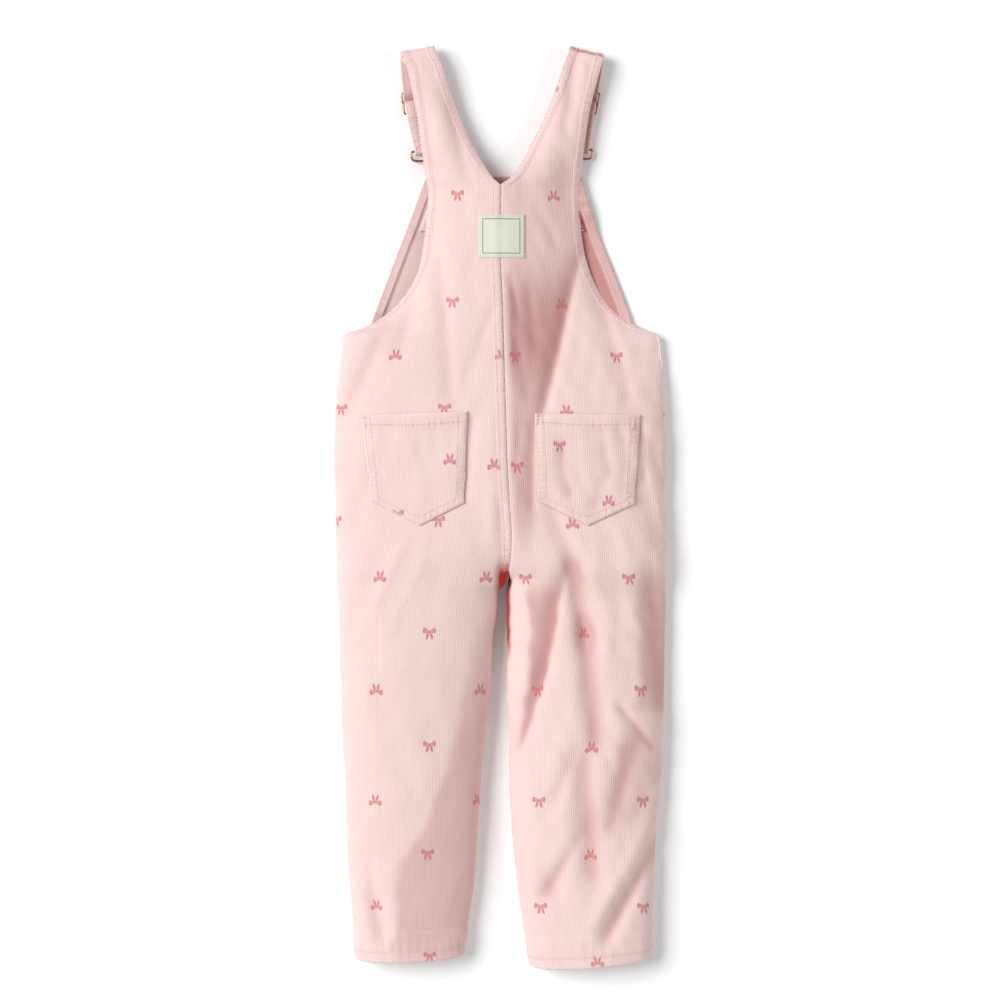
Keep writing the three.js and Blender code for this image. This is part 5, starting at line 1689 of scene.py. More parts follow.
@dataclass
class StrapHardware:
    """Wire slide, wire buckle and metal button of one strap."""

    side: Side
    strap: StrapLine
    wire_radius: float = 0.85
    buckle_radius: float = 0.95
    corner: float = 2.2
    head: float = 7.8
    head_height: float = 1.5
    shank: float = 2.6
    eye: float = 30.5

    def placed(self, points: np.ndarray, at: float, z: float) -> np.ndarray:
        """Turn points with the strap and put them at their place on it.

        Args:
            points: Points round the origin.
            at: Distance from the shoulder fold.
            z: Height.

        Returns:
            The placed points.
        """
        x, y, turn = self.strap.place(at)
        c, s = math.cos(turn), math.sin(turn)
        made = points.copy()
        made[:, 0] = x + c * points[:, 0] - s * points[:, 1]
        made[:, 1] = y + s * points[:, 0] + c * points[:, 1]
        made[:, 2] = points[:, 2] + z
        return made

    def loop(self, corners: Sequence[tuple[int, int, int]], middle: float) -> np.ndarray:
        """Middle line of one of the slide's wire loops, with its corners rounded.

        Args:
            corners: Side across, side down and first turn of each corner.
            middle: Level of the loop's middle.

        Returns:
            Points in plan.
        """
        half = STRAP_WIDTH / 2 + SLIDE_SLACK + self.wire_radius
        path = []
        for sx, sy, start in corners:
            for turn in range(0, 91, 15):
                a = math.radians(start + turn)
                x = sx * (half - self.corner) + self.corner * math.cos(a)
                y = middle + sy * (SLIDE_PITCH / 2 - self.corner) + self.corner * math.sin(a)
                path.append((x, y))
        return np.array(path)

    def slide(self, metal: bpy.types.Material) -> bpy.types.Object:
        """Two wire loops on one middle bar."""
        points, faces = wire(self.loop(SLIDE_CORNERS, SLIDE_PITCH / 2), self.wire_radius)
        lower = self.loop(SLIDE_CORNERS[1:] + SLIDE_CORNERS[:1], -SLIDE_PITCH / 2)
        more, more_faces = wire(lower, self.wire_radius * 0.995, closed=False)
        count = len(points)
        faces += [[count + i for i in face] for face in more_faces]
        points = self.placed(np.concatenate([points, more]), SLIDE_AT, WIRE_Z)
        return mesh_object(f"slide_{self.side.word}_wire", points, faces, [metal])

    def buckle(self, metal: bpy.types.Material) -> bpy.types.Object:
        """Bar, shoulders, neck and the ring that the button holds."""
        half, side, shoulder, shoulder_at = 17.0, 5.5, 13.0, 7.5
        neck, neck_at, ring = 3.6, 22.5, 5.6
        right = [
            (half - 3.2, 0.0), (half - 1.6, 0.0), (half - 0.5, -0.5), (half, -1.8),
            (half, -side + 1), (half - 1.0, -side - 1.2), (shoulder, -shoulder_at - 0.3),
            (shoulder - 3.2, -shoulder_at - 0.5), (shoulder - 6.0, -shoulder_at - 1.8),
            (neck + 1.8, -neck_at + 8), (neck + 0.3, -neck_at + 2), (neck, -neck_at),
        ]
        for turn in (42, 10, -22, -56, -90):
            a = math.radians(turn)
            right.append((ring * math.cos(a), -self.eye + ring * math.sin(a)))
        path = np.array(right + [(-x, y) for x, y in reversed(right[:-1])])
        points, faces = wire(smooth_loop(path, 5), self.buckle_radius)
        points = self.placed(points, BUCKLE_AT, WIRE_Z)
        return mesh_object(f"buckle_{self.side.word}_wire", points, faces, [metal])

    def button(self, metal: bpy.types.Material) -> bpy.types.Object:
        """Turned button: rimmed head under the ring, shank up to the bib."""
        top = BIB_LIFT - SEAM_GAP
        profile = [
            (0.0, 0.55), (3.6, 0.55), (4.4, 0.42), (5.0, 0.2), (5.8, 0.1), (6.8, 0.12),
            (7.5, 0.35), (self.head, 0.75), (7.6, 1.15), (7.0, self.head_height - 0.05),
            (6.2, self.head_height), (3.4, self.head_height), (self.shank, 1.7),
            (self.shank, top - 0.4), (self.shank + 0.8, top), (0.0, top),
        ]
        count = 48
        turns = 2 * np.pi * np.arange(count) / count
        rings = [
            np.stack([r * np.cos(turns), r * np.sin(turns), np.full(count, z)], 1)
            for r, z in profile[1:-1]
        ]
        points = np.concatenate([*rings, [[0, 0, profile[0][1]], [0, 0, profile[-1][1]]]])
        faces = []
        for i in range(len(rings) - 1):
            a, b = i * count, (i + 1) * count
            for k in range(count):
                k1 = (k + 1) % count
                faces.append([a + k, a + k1, b + k1, b + k])
        low, high = len(points) - 2, len(points) - 1
        last = (len(rings) - 1) * count
        for k in range(count):
            k1 = (k + 1) % count
            faces.append([low, k1, k])
            faces.append([high, last + k, last + k1])
        x, y, turn = self.strap.place(BUCKLE_AT)
        away = self.eye * np.array([math.sin(turn), -math.cos(turn), 0])
        points = points + (np.array([x, y, 0]) + away)
        return mesh_object(f"button_{self.side.word}_metal", points, faces, [metal])


class Wiring:
    """Short ways to place and join shader nodes in one tree."""

    def __init__(self, tree: bpy.types.NodeTree) -> None:
        """Keep the tree."""
        self.tree = tree

    def node(self, kind: str, **settings: object) -> bpy.types.Node:
        """Add a node.

        Args:
            kind: Its type.
            settings: Values of its properties.

        Returns:
            The node.
        """
        made = self.tree.nodes.new(kind)
        for key, value in settings.items():
            setattr(made, key, value)
        return made

    def feed(self, socket: bpy.types.NodeSocket, value: object) -> None:
        """Link a socket to another one, or set its value."""
        if isinstance(value, bpy.types.NodeSocket):
            self.tree.links.new(value, socket)
        else:
            socket.default_value = value

    def math(self, kind: str, a: object, b: object = 0.0, clamp: bool = False) -> bpy.types.NodeSocket:
        """A sum, product or other operation of one or two numbers."""
        made = self.node("ShaderNodeMath", operation=kind, use_clamp=clamp)
        self.feed(made.inputs[0], a)
        self.feed(made.inputs[1], b)
        return made.outputs[0]

    def range(
        self, value: object, low: float, high: float, to_low: float = 0.0, to_high: float = 1.0
    ) -> bpy.types.NodeSocket:
        """Map a number smoothly from one range to another."""
        made = self.node("ShaderNodeMapRange", interpolation_type="SMOOTHSTEP")
        for k, v in enumerate((value, low, high, to_low, to_high)):
            self.feed(made.inputs[k], v)
        return made.outputs[0]

    def mix(self, share: object, a: object, b: object, kind: str = "MIX") -> bpy.types.NodeSocket:
        """Mix two colours."""
        made = self.node("ShaderNodeMix", data_type="RGBA", blend_type=kind)
        self.feed(made.inputs["Factor"], share)
        self.feed(made.inputs[6], a)
        self.feed(made.inputs[7], b)
        return made.outputs[2]

    def noise(
        self, place: object, scale: float, detail: float = 2.0, rough: float = 0.5
    ) -> bpy.types.NodeSocket:
        """Noise between 0 and 1."""
        made = self.node("ShaderNodeTexNoise")
        self.feed(made.inputs["Vector"], place)
        made.inputs["Scale"].default_value = scale
        made.inputs["Detail"].default_value = detail
        made.inputs["Roughness"].default_value = rough
        return made.outputs["Fac"]

    def scaled(self, vector: object, by: tuple[float, float, float]) -> bpy.types.NodeSocket:
        """A vector times another."""
        made = self.node("ShaderNodeVectorMath", operation="MULTIPLY")
        self.feed(made.inputs[0], vector)
        made.inputs[1].default_value = by
        return made.outputs[0]

    def parts(self, vector: object) -> tuple[bpy.types.NodeSocket, ...]:
        """The three numbers of a vector."""
        made = self.node("ShaderNodeSeparateXYZ")
        self.feed(made.inputs[0], vector)
        return tuple(made.outputs)

    def mask(self, name: str) -> bpy.types.NodeSocket:
        """A mask held by the cloth's points."""
        return self.node("ShaderNodeAttribute", attribute_name=name).outputs["Fac"]

    def own_place(self) -> bpy.types.NodeSocket:
        """Place in the piece's own frame, in metres."""
        return self.node("ShaderNodeTexCoord").outputs["Object"]

    def group(self, tree: bpy.types.NodeTree, **values: object) -> bpy.types.Node:
        """Place a node group with its values.

        Args:
            tree: The group.
            values: Inputs by name, with _ for a space.

        Returns:
            The group node.
        """
        made = self.node("ShaderNodeGroup", node_tree=tree)
        for key, value in values.items():
            self.feed(made.inputs[key.replace("_", " ")], value)
        return made


class EffectGroup:
    """A shader node group with named sockets, built once."""

    title = "Effect"
    inputs: tuple[tuple[str, str, object], ...] = ()
    outputs: tuple[tuple[str, str], ...] = ()

    def __init__(self) -> None:
        """Make the group's sockets and wire it."""
        self.tree = bpy.data.node_groups.new(self.title, "ShaderNodeTree")
        for name, kind, value in self.inputs:
            made = self.tree.interface.new_socket(name, in_out="INPUT", socket_type=kind)
            if value is not None:
                made.default_value = value
        for name, kind in self.outputs:
            self.tree.interface.new_socket(name, in_out="OUTPUT", socket_type=kind)
        w = Wiring(self.tree)
        given = w.node("NodeGroupInput")
        out = w.node("NodeGroupOutput")
        for name, socket in self.wire(w, given.outputs).items():
            w.feed(out.inputs[name], socket)

    def wire(self, w: Wiring, given: bpy.types.NodeOutputs) -> dict[str, bpy.types.NodeSocket]:
        """Wire the group; each effect has its own."""
        raise NotImplementedError


class WalePile(EffectGroup):
    """Rounded cords of cut pile with the ground cloth between them, and a mask of painted shade in the
    grooves.
    """

    title = "Wale pile"
    inputs = (
        ("Cloth", "NodeSocketVector", None),
        ("Pitch", "NodeSocketFloat", WALE_PITCH),
        ("Fuzz", "NodeSocketFloat", 0.5),
    )
    outputs = (("Height", "NodeSocketFloat"), ("Groove", "NodeSocketFloat"))

    def wire(self, w: Wiring, given: bpy.types.NodeOutputs) -> dict[str, bpy.types.NodeSocket]:
        """Cords along the cloth's length, a little uneven, with fuzz on top."""
        u, v, _ = w.parts(given["Cloth"])
        drift = w.noise(w.scaled(given["Cloth"], (0.05, 0.02, 1)), 1.0, 2.0)
        u = w.math("ADD", u, w.math("MULTIPLY", drift, 0.9))
        phase = w.math("MULTIPLY", w.math("DIVIDE", u, given["Pitch"]), math.pi)
        cord = w.math("ABSOLUTE", w.math("SINE", phase))
        cord = w.math("POWER", cord, 0.55)
        fine = w.noise(w.scaled(given["Cloth"], (2.6, 0.9, 1)), 1.0, 3.0, 0.7)
        coarse = w.noise(w.scaled(given["Cloth"], (0.9, 0.14, 1)), 1.0, 2.0, 0.5)
        fuzz = w.math("MULTIPLY", w.math("SUBTRACT", fine, 0.5), given["Fuzz"])
        worn = w.range(coarse, 0.25, 0.6, 0.72, 1.0)
        height = w.math("ADD", w.math("MULTIPLY", cord, worn), fuzz)
        # Painted shade mask: where the grooves between the cords lie.
        groove = w.math("SUBTRACT", 1.0, w.math("MULTIPLY", cord, worn), clamp=True)
        return {"Height": height, "Groove": groove}


class BowPrint(EffectGroup):
    """Small bows in columns, each second column dropped half a step and upside down."""

    title = "Bow print"
    inputs = (("Cloth", "NodeSocketVector", None),)
    outputs = (("Mask", "NodeSocketFloat"), ("Tone", "NodeSocketFloat"))

    def blob(
        self, w: Wiring, x: object, y: object, at: tuple[float, float],
        half: tuple[float, float], turn: float, soft: float,
    ) -> bpy.types.NodeSocket:
        """A soft ellipse.

        Args:
            w: The wiring.
            x: Place across the bow.
            y: Place along the bow.
            at: Middle of the ellipse.
            half: Its half axes.
            turn: Its turn in degrees.
            soft: Softness of its edge.

        Returns:
            1 inside and 0 outside.
        """
        c, s = math.cos(math.radians(turn)), math.sin(math.radians(turn))
        dx, dy = w.math("SUBTRACT", x, at[0]), w.math("SUBTRACT", y, at[1])
        a = w.math("ADD", w.math("MULTIPLY", dx, c / half[0]), w.math("MULTIPLY", dy, s / half[0]))
        b = w.math("SUBTRACT", w.math("MULTIPLY", dy, c / half[1]), w.math("MULTIPLY", dx, s / half[1]))
        reach = w.math("SQRT", w.math("ADD", w.math("MULTIPLY", a, a), w.math("MULTIPLY", b, b)))
        return w.range(reach, 1 + soft, 1 - soft)

    def wire(self, w: Wiring, given: bpy.types.NodeOutputs) -> dict[str, bpy.types.NodeSocket]:
        """Find the nearest bow of the lattice and draw it."""
        u, v, _ = w.parts(given["Cloth"])
        column = w.math("ROUND", w.math("DIVIDE", u, BOW_COLUMN))
        du = w.math("SUBTRACT", u, w.math("MULTIPLY", column, BOW_COLUMN))
        odd = w.math("ABSOLUTE", w.math("MODULO", column, 2.0))
        level = w.math("SUBTRACT", w.math("SUBTRACT", v, BOW_START), w.math("MULTIPLY", odd, BOW_ROW / 2))
        row = w.math("ROUND", w.math("DIVIDE", level, BOW_ROW))
        dv = w.math("SUBTRACT", level, w.math("MULTIPLY", row, BOW_ROW))
        flip = w.math("SUBTRACT", 1.0, w.math("MULTIPLY", odd, 2.0))
        dv = w.math("MULTIPLY", dv, flip)
        mirror = w.math("ABSOLUTE", du)
        wobble = w.noise(w.scaled(given["Cloth"], (1.3, 1.3, 1)), 1.0, 2.0)
        wobble = w.math("MULTIPLY", w.math("SUBTRACT", wobble, 0.5), 0.5)
        mirror = w.math("ADD", mirror, wobble)
        loop = self.blob(w, mirror, dv, (2.9, 1.7), (2.3, 1.6), 20, 0.3)
        flare = self.blob(w, mirror, dv, (4.1, 2.1), (1.0, 2.2), 8, 0.3)
        hole = self.blob(w, mirror, dv, (2.4, 1.5), (1.1, 0.6), 16, 0.45)
        knot = self.blob(w, mirror, dv, (0.0, 1.0), (0.9, 1.2), 0, 0.3)
        tail = self.blob(w, mirror, dv, (1.6, -2.1), (1.0, 2.7), 16, 0.35)
        shape = w.math("MAXIMUM", w.math("MAXIMUM", loop, flare), w.math("MAXIMUM", knot, tail))
        inside = w.math("MULTIPLY", hole, 0.4)
        mask = w.math("SUBTRACT", shape, inside, clamp=True)
        tone = w.math("MULTIPLY", w.math("ADD", flare, knot), 0.6, clamp=True)
        return {"Mask": mask, "Tone": tone}


class DyeDrift(EffectGroup):
    """Slow change of colour over a dyed surface."""

    title = "Dye drift"
    inputs = (
        ("Place", "NodeSocketVector", None),
        ("Colour", "NodeSocketColor", (0.8, 0.8, 0.8, 1)),
        ("Other", "NodeSocketColor", (0.7, 0.7, 0.7, 1)),
        ("Amount", "NodeSocketFloat", 0.3),
    )
    outputs = (("Colour", "NodeSocketColor"),)

    def wire(self, w: Wiring, given: bpy.types.NodeOutputs) -> dict[str, bpy.types.NodeSocket]:
        """Two sizes of cloud between two colours."""
        large = w.noise(given["Place"], 14.0, 3.0)
        small = w.noise(given["Place"], 240.0, 3.0, 0.6)
        both = w.math("ADD", w.math("MULTIPLY", large, 0.65), w.math("MULTIPLY", small, 0.35))
        share = w.math("MULTIPLY", w.range(both, 0.32, 0.68), given["Amount"])
        return {"Colour": w.mix(share, given["Colour"], given["Other"])}


class EdgeWearAndHighlight(EffectGroup):
    """Where turned edges go pale: partly rubbed, partly painted highlight."""

    title = "Edge wear"
    inputs = (
        ("Place", "NodeSocketVector", None),
        ("Edge", "NodeSocketFloat", 0.0),
        ("Amount", "NodeSocketFloat", 0.5),
    )
    outputs = (("Mask", "NodeSocketFloat"),)

    def wire(self, w: Wiring, given: bpy.types.NodeOutputs) -> dict[str, bpy.types.NodeSocket]:
        """Edge attribute broken up by noise."""
        broken = w.range(w.noise(given["Place"], 420.0, 3.0, 0.6), 0.3, 0.7, 0.45, 1.0)
        mask = w.math("MULTIPLY", w.math("MULTIPLY", given["Edge"], broken), given["Amount"])
        return {"Mask": mask}


@dataclass(frozen=True)
class Effects:
    """The shared effects of all finishes."""

    wales: bpy.types.NodeTree
    bows: bpy.types.NodeTree
    drift: bpy.types.NodeTree
    wear_and_highlight: bpy.types.NodeTree

    @classmethod
    def make(cls) -> "Effects":
        """Build every effect once."""
        return cls(WalePile().tree, BowPrint().tree, DyeDrift().tree, EdgeWearAndHighlight().tree)


def new_material(name: str) -> tuple[bpy.types.Material, Wiring, bpy.types.Node]:
    """Make a material with an empty tree, a Principled shader and its output.

    Args:
        name: The material's name.

    Returns:
        The material, its wiring and the shader.
    """
    material = bpy.data.materials.new(name)
    material.use_nodes = True
    material.node_tree.nodes.clear()
    w = Wiring(material.node_tree)
    shader = w.node("ShaderNodeBsdfPrincipled")
    out = w.node("ShaderNodeOutputMaterial")
    w.feed(out.inputs["Surface"], shader.outputs["BSDF"])
    return material, w, shader


def cloth_place(w: Wiring) -> bpy.types.NodeSocket:
    """Place in the flat cut, in millimetres."""
    uv = w.node("ShaderNodeUVMap", uv_map="cloth")
    return w.scaled(uv.outputs["UV"], (1000.0, 1000.0, 1.0))


def bumped(w: Wiring, height: object, distance: float, strength: float) -> bpy.types.NodeSocket:
    """A normal from a height in units of the distance, in metres."""
    bump = w.node("ShaderNodeBump")
    bump.inputs["Strength"].default_value = strength
    bump.inputs["Distance"].default_value = distance
    w.feed(bump.inputs["Height"], height)
    return bump.outputs["Normal"]


@dataclass(frozen=True)
class Corduroy:
    """Printed fine-wale corduroy, pile side out."""

    ground: Colour = (0.885, 0.668, 0.640, 1)
    other: Colour = (0.900, 0.700, 0.668, 1)
    # Painted shade colours: one for the grooves between the cords, one for stitch troughs and puckers.
    groove: Colour = (0.700, 0.400, 0.382, 1)
    sewn: Colour = (0.800, 0.430, 0.410, 1)
    bow: Colour = (0.640, 0.170, 0.172, 1)
    # Pale colour of turned edges: rubbing, and painted highlight.
    pale: Colour = (0.950, 0.800, 0.775, 1)
    # Painted shade colours: a dusty one for folds, planes facing away from the light and pocket rims, and a
    # dark red one for the crotch and the darkest shade.
    shade_tone: Colour = (0.640, 0.335, 0.322, 1)
    deep_shade: Colour = (0.440, 0.030, 0.030, 1)
    bump: float = 0.00022

    def material(self, effects: Effects) -> bpy.types.Material:
        """Build the finish.

        Args:
            effects: The shared effects.

        Returns:
            The material.
        """
        made, w, shader = new_material("corduroy_print")
        cloth = cloth_place(w)
        place = w.own_place()
        wales = w.group(effects.wales, Cloth=cloth, Pitch=WALE_PITCH, Fuzz=0.5)
        bows = w.group(effects.bows, Cloth=cloth)
        base = w.group(
            effects.drift, Place=place, Colour=self.ground, Other=self.other, Amount=0.8
        ).outputs["Colour"]
        # Painted shade from the point mark, first towards the dusty shade colour.
        painted_shade = w.mask("painted_shade")
        base = w.mix(w.range(painted_shade, 0.0, 0.5, 0.0, 1.0), base, self.shade_tone)
        printed = w.mix(w.math("MULTIPLY", bows.outputs["Mask"], 0.88), base, self.bow)
        # Painted shade in the grooves between the cords.
        sunk_shade = w.math("MULTIPLY", w.math("POWER", wales.outputs["Groove"], 1.5), 0.4)
        coloured = w.mix(sunk_shade, printed, self.groove)
        # Painted shade along stitch troughs and puckers.
        seam = w.mask("seam")
        coloured = w.mix(w.math("MULTIPLY", seam, 0.5), coloured, self.sewn)
        # Painted dark red shade where the shade mark is strongest.
        coloured = w.mix(w.range(painted_shade, 0.5, 0.9, 0.0, 1.0), coloured, self.deep_shade)
        # Turned edges go pale: rubbing, and painted highlight along them.
        edge = w.mask("wear_and_highlight")
        rubbed = w.group(effects.wear_and_highlight, Place=place, Edge=edge, Amount=0.6).outputs["Mask"]
        w.feed(shader.inputs["Base Color"], w.mix(rubbed, coloured, self.pale))
        w.feed(shader.inputs["Roughness"], w.range(wales.outputs["Height"], 0.1, 1.0, 0.98, 0.84))
        w.feed(shader.inputs["Normal"], bumped(w, wales.outputs["Height"], self.bump, 0.8))
        shader.inputs["Sheen Weight"].default_value = 0.22
        shader.inputs["Sheen Roughness"].default_value = 0.45
        shader.inputs["Sheen Tint"].default_value = (1.0, 0.88, 0.86, 1)
        shader.inputs["Specular IOR Level"].default_value = 0.18
        return made


@dataclass(frozen=True)
class WrongSide:
    """Plain ground weave on the back of the corduroy."""

    ground: Colour = (0.880, 0.640, 0.608, 1)
    other: Colour = (0.895, 0.680, 0.648, 1)
    # Painted shade colour for stitch troughs, folds and the crotch.
    deep_shade: Colour = (0.560, 0.170, 0.145, 1)
    thread: float = 0.42

    def material(self, effects: Effects) -> bpy.types.Material:
        """Build the finish.

        Args:
            effects: The shared effects.

        Returns:
            The material.
        """
        made, w, shader = new_material("corduroy_wrong_side")
        cloth = cloth_place(w)
        place = w.own_place()
        u, v, _ = w.parts(cloth)
        warp = w.math("SINE", w.math("MULTIPLY", u, 2 * math.pi / self.thread))
        weft = w.math("SINE", w.math("MULTIPLY", v, 2 * math.pi / self.thread))
        weave = w.math("MULTIPLY", w.math("ADD", w.math("MULTIPLY", warp, weft), 1.0), 0.5)
        base = w.group(
            effects.drift, Place=place, Colour=self.ground, Other=self.other, Amount=0.9
        ).outputs["Colour"]
        dark = (self.ground[0] * 0.82, self.ground[1] * 0.7, self.ground[2] * 0.7, 1)
        woven = w.mix(w.math("MULTIPLY", weave, 0.16), base, dark)
        # Painted shade along stitch troughs, then in folds, the crotch and under the back.
        seam = w.mask("seam")
        woven = w.mix(w.math("MULTIPLY", seam, 0.35), woven, self.deep_shade)
        painted_shade = w.mask("painted_shade")
        w.feed(shader.inputs["Base Color"], w.mix(painted_shade, woven, self.deep_shade))
        w.feed(shader.inputs["Roughness"], w.range(weave, 0.0, 1.0, 0.82, 0.95))
        w.feed(shader.inputs["Normal"], bumped(w, weave, 0.00012, 0.7))
        shader.inputs["Sheen Weight"].default_value = 0.12
        shader.inputs["Sheen Roughness"].default_value = 0.5
        shader.inputs["Specular IOR Level"].default_value = 0.18
        return made


@dataclass(frozen=True)
class SewingThread:
    """Spun thread in the cloth's own pink."""

    colour: Colour = (0.915, 0.735, 0.705, 1)
    other: Colour = (0.850, 0.620, 0.590, 1)

    def material(self, effects: Effects) -> bpy.types.Material:
        """Build the finish.

        Args:
            effects: The shared effects.

        Returns:
            The material.
        """
        made, w, shader = new_material("sewing_thread")
        place = w.own_place()
        base = w.group(
            effects.drift, Place=place, Colour=self.colour, Other=self.other, Amount=0.8
        ).outputs["Colour"]
        x, y, z = w.parts(w.scaled(place, (1000.0, 1000.0, 1000.0)))
        ply = w.math("SINE", w.math("MULTIPLY", w.math("ADD", w.math("ADD", x, y), z), 11.0))
        ply = w.math("MULTIPLY", w.math("ADD", ply, 1.0), 0.5)
        w.feed(shader.inputs["Base Color"], w.mix(w.math("MULTIPLY", ply, 0.35), base, self.other))
        w.feed(shader.inputs["Roughness"], w.range(ply, 0.0, 1.0, 0.55, 0.75))
        w.feed(shader.inputs["Normal"], bumped(w, ply, 0.00008, 0.8))
        shader.inputs["Sheen Weight"].default_value = 0.1
        return made


@dataclass(frozen=True)
class WovenLabel:
    """Cream satin label with a thin dark border."""

    cream: Colour = (0.790, 0.800, 0.690, 1)
    other: Colour = (0.720, 0.750, 0.640, 1)
    ink: Colour = (0.030, 0.030, 0.075, 1)
    half: tuple[float, float] = (14.4, 13.4)
    line: float = 0.34

    def material(self, effects: Effects) -> bpy.types.Material:
        """Build the finish.

        Args:
            effects: The shared effects.

        Returns:
            The material.
        """
        made, w, shader = new_material("woven_label")
        cloth = cloth_place(w)
        place = w.own_place()
        u, v, _ = w.parts(cloth)
        across = w.math("SUBTRACT", w.math("ABSOLUTE", u), self.half[0])
        down = w.math("SUBTRACT", w.math("ABSOLUTE", v), self.half[1])
        frame_line = w.math("ABSOLUTE", w.math("MAXIMUM", across, down))
        border = w.range(frame_line, self.line, self.line * 0.6)
        rib = w.math("SINE", w.math("MULTIPLY", v, 2 * math.pi / 0.34))
        rib = w.math("MULTIPLY", w.math("ADD", rib, 1.0), 0.5)
        fine = w.noise(w.scaled(cloth, (3.0, 0.7, 1)), 1.0, 3.0)
        base = w.group(
            effects.drift, Place=place, Colour=self.cream, Other=self.other, Amount=0.6
        ).outputs["Colour"]
        base = w.mix(w.math("MULTIPLY", rib, 0.12), base, self.other)
        w.feed(shader.inputs["Base Color"], w.mix(w.math("MULTIPLY", border, 0.9), base, self.ink))
        w.feed(shader.inputs["Roughness"], w.range(fine, 0.2, 0.8, 0.45, 0.7))
        w.feed(shader.inputs["Normal"], bumped(w, w.math("ADD", rib, fine), 0.00008, 0.6))
        shader.inputs["Sheen Weight"].default_value = 0.15
        return made


@dataclass(frozen=True)
class CopperPlate:
    """Rose-copper plated wire with rubbed and dulled patches."""

    bright: Colour = (0.660, 0.330, 0.220, 1)
    dull: Colour = (0.380, 0.160, 0.095, 1)

    def material(self, effects: Effects) -> bpy.types.Material:
        """Build the finish.

        Args:
            effects: The shared effects.

        Returns:
            The material.
        """
        made, w, shader = new_material("copper_plate")
        place = w.own_place()
        base = w.group(
            effects.drift, Place=place, Colour=self.bright, Other=self.dull, Amount=0.6
        ).outputs["Colour"]
        scuff = w.noise(place, 900.0, 4.0, 0.65)
        w.feed(shader.inputs["Base Color"], base)
        w.feed(shader.inputs["Roughness"], w.range(scuff, 0.3, 0.75, 0.16, 0.38))
        w.feed(shader.inputs["Normal"], bumped(w, scuff, 0.00003, 0.4))
        shader.inputs["Metallic"].default_value = 1.0
        return made


@dataclass(frozen=True)
class Studio:
    """Pale floor, soft light from the left and the camera straight above."""

    eye_height: float = 4.0
    eye_y: float = 0.0051
    view_width: float = 0.785
    sensor: float = 36.0
    glow: float = 0.08

    def camera(self) -> bpy.types.Object:
        """Camera that takes in a square of floor 785 mm wide."""
        data = bpy.data.cameras.new("camera")
        data.sensor_width = self.sensor
        data.lens = self.sensor * self.eye_height / self.view_width
        made = bpy.data.objects.new("camera", data)
        made.location = (0.0, self.eye_y, self.eye_height)
        bpy.context.scene.collection.objects.link(made)
        bpy.context.scene.camera = made
        return made

    def floor(self) -> bpy.types.Object:
        """Plain pale floor 1 mm under the garment, clear of its lowest wires."""
        half, low = 2500.0, -1.0
        count = 9
        x, y = np.meshgrid(np.linspace(-half, half, count), np.linspace(-half, half, count))
        points = np.stack([x.ravel(), y.ravel(), np.full(x.size, low)], 1)
        ids = np.arange(count * count).reshape(count, count)
        faces = np.stack([ids[:-1, :-1], ids[:-1, 1:], ids[1:, 1:], ids[1:, :-1]], -1)
        material, w, shader = new_material("floor_paper")
        place = w.own_place()
        tone = w.noise(place, 3.0, 2.0)
        w.feed(shader.inputs["Base Color"], w.mix(tone, (0.95, 0.95, 0.95, 1), (0.97, 0.97, 0.97, 1)))
        w.feed(shader.inputs["Roughness"], w.range(tone, 0.0, 1.0, 0.9, 0.95))
        shader.inputs["Specular IOR Level"].default_value = 0.0
        shader.inputs["Emission Color"].default_value = (1, 1, 1, 1)
        shader.inputs["Emission Strength"].default_value = self.glow
        made = mesh_object("floor", points, faces.reshape(-1, 4), [material])
        return made

    def lamp(self, name: str, at: tuple[float, float, float], spread: float, power: float) -> None:
        """Add a broad even light that comes from one side.

        Args:
            name: Its name.
            at: Where it comes from.
            spread: Angle across it, in radians.
            power: Its strength.
        """
        data = bpy.data.lights.new(name, "SUN")
        data.angle = spread
        data.energy = power
        made = bpy.data.objects.new(name, data)
        made.location = at
        made.rotation_mode = "QUATERNION"
        made.rotation_quaternion = Vector(at).to_track_quat("Z", "Y")
        bpy.context.scene.collection.objects.link(made)

    def light(self) -> None:
        """Broad key light from the left, a weak low one from the right, pale air all round."""
        self.lamp("key_light", (-1.75, 0.5, 1.72), 0.66, 2.90)
        self.lamp("low_light", (2.6, -0.5, 1.8), 0.60, 0.78)
        world = bpy.data.worlds.new("air")
        world.use_nodes = True
        back = world.node_tree.nodes["Background"]
        back.inputs["Color"].default_value = (0.96, 0.98, 1.0, 1)
        back.inputs["Strength"].default_value = 0.27
        bpy.context.scene.world = world
        bpy.context.scene.view_settings.view_transform = "Standard"


@dataclass(frozen=True)
class Finishes:
    """Every material of the garment."""

    corduroy: bpy.types.Material
    wrong_side: bpy.types.Material
    thread: bpy.types.Material
    label: bpy.types.Material
    copper: bpy.types.Material

    @classmethod
    def make(cls) -> "Finishes":
        """Build every material once."""
        effects = Effects.make()
        return cls(
            Corduroy().material(effects),
            WrongSide().material(effects),
            SewingThread().material(effects),
            WovenLabel().material(effects),
            CopperPlate().material(effects),
        )


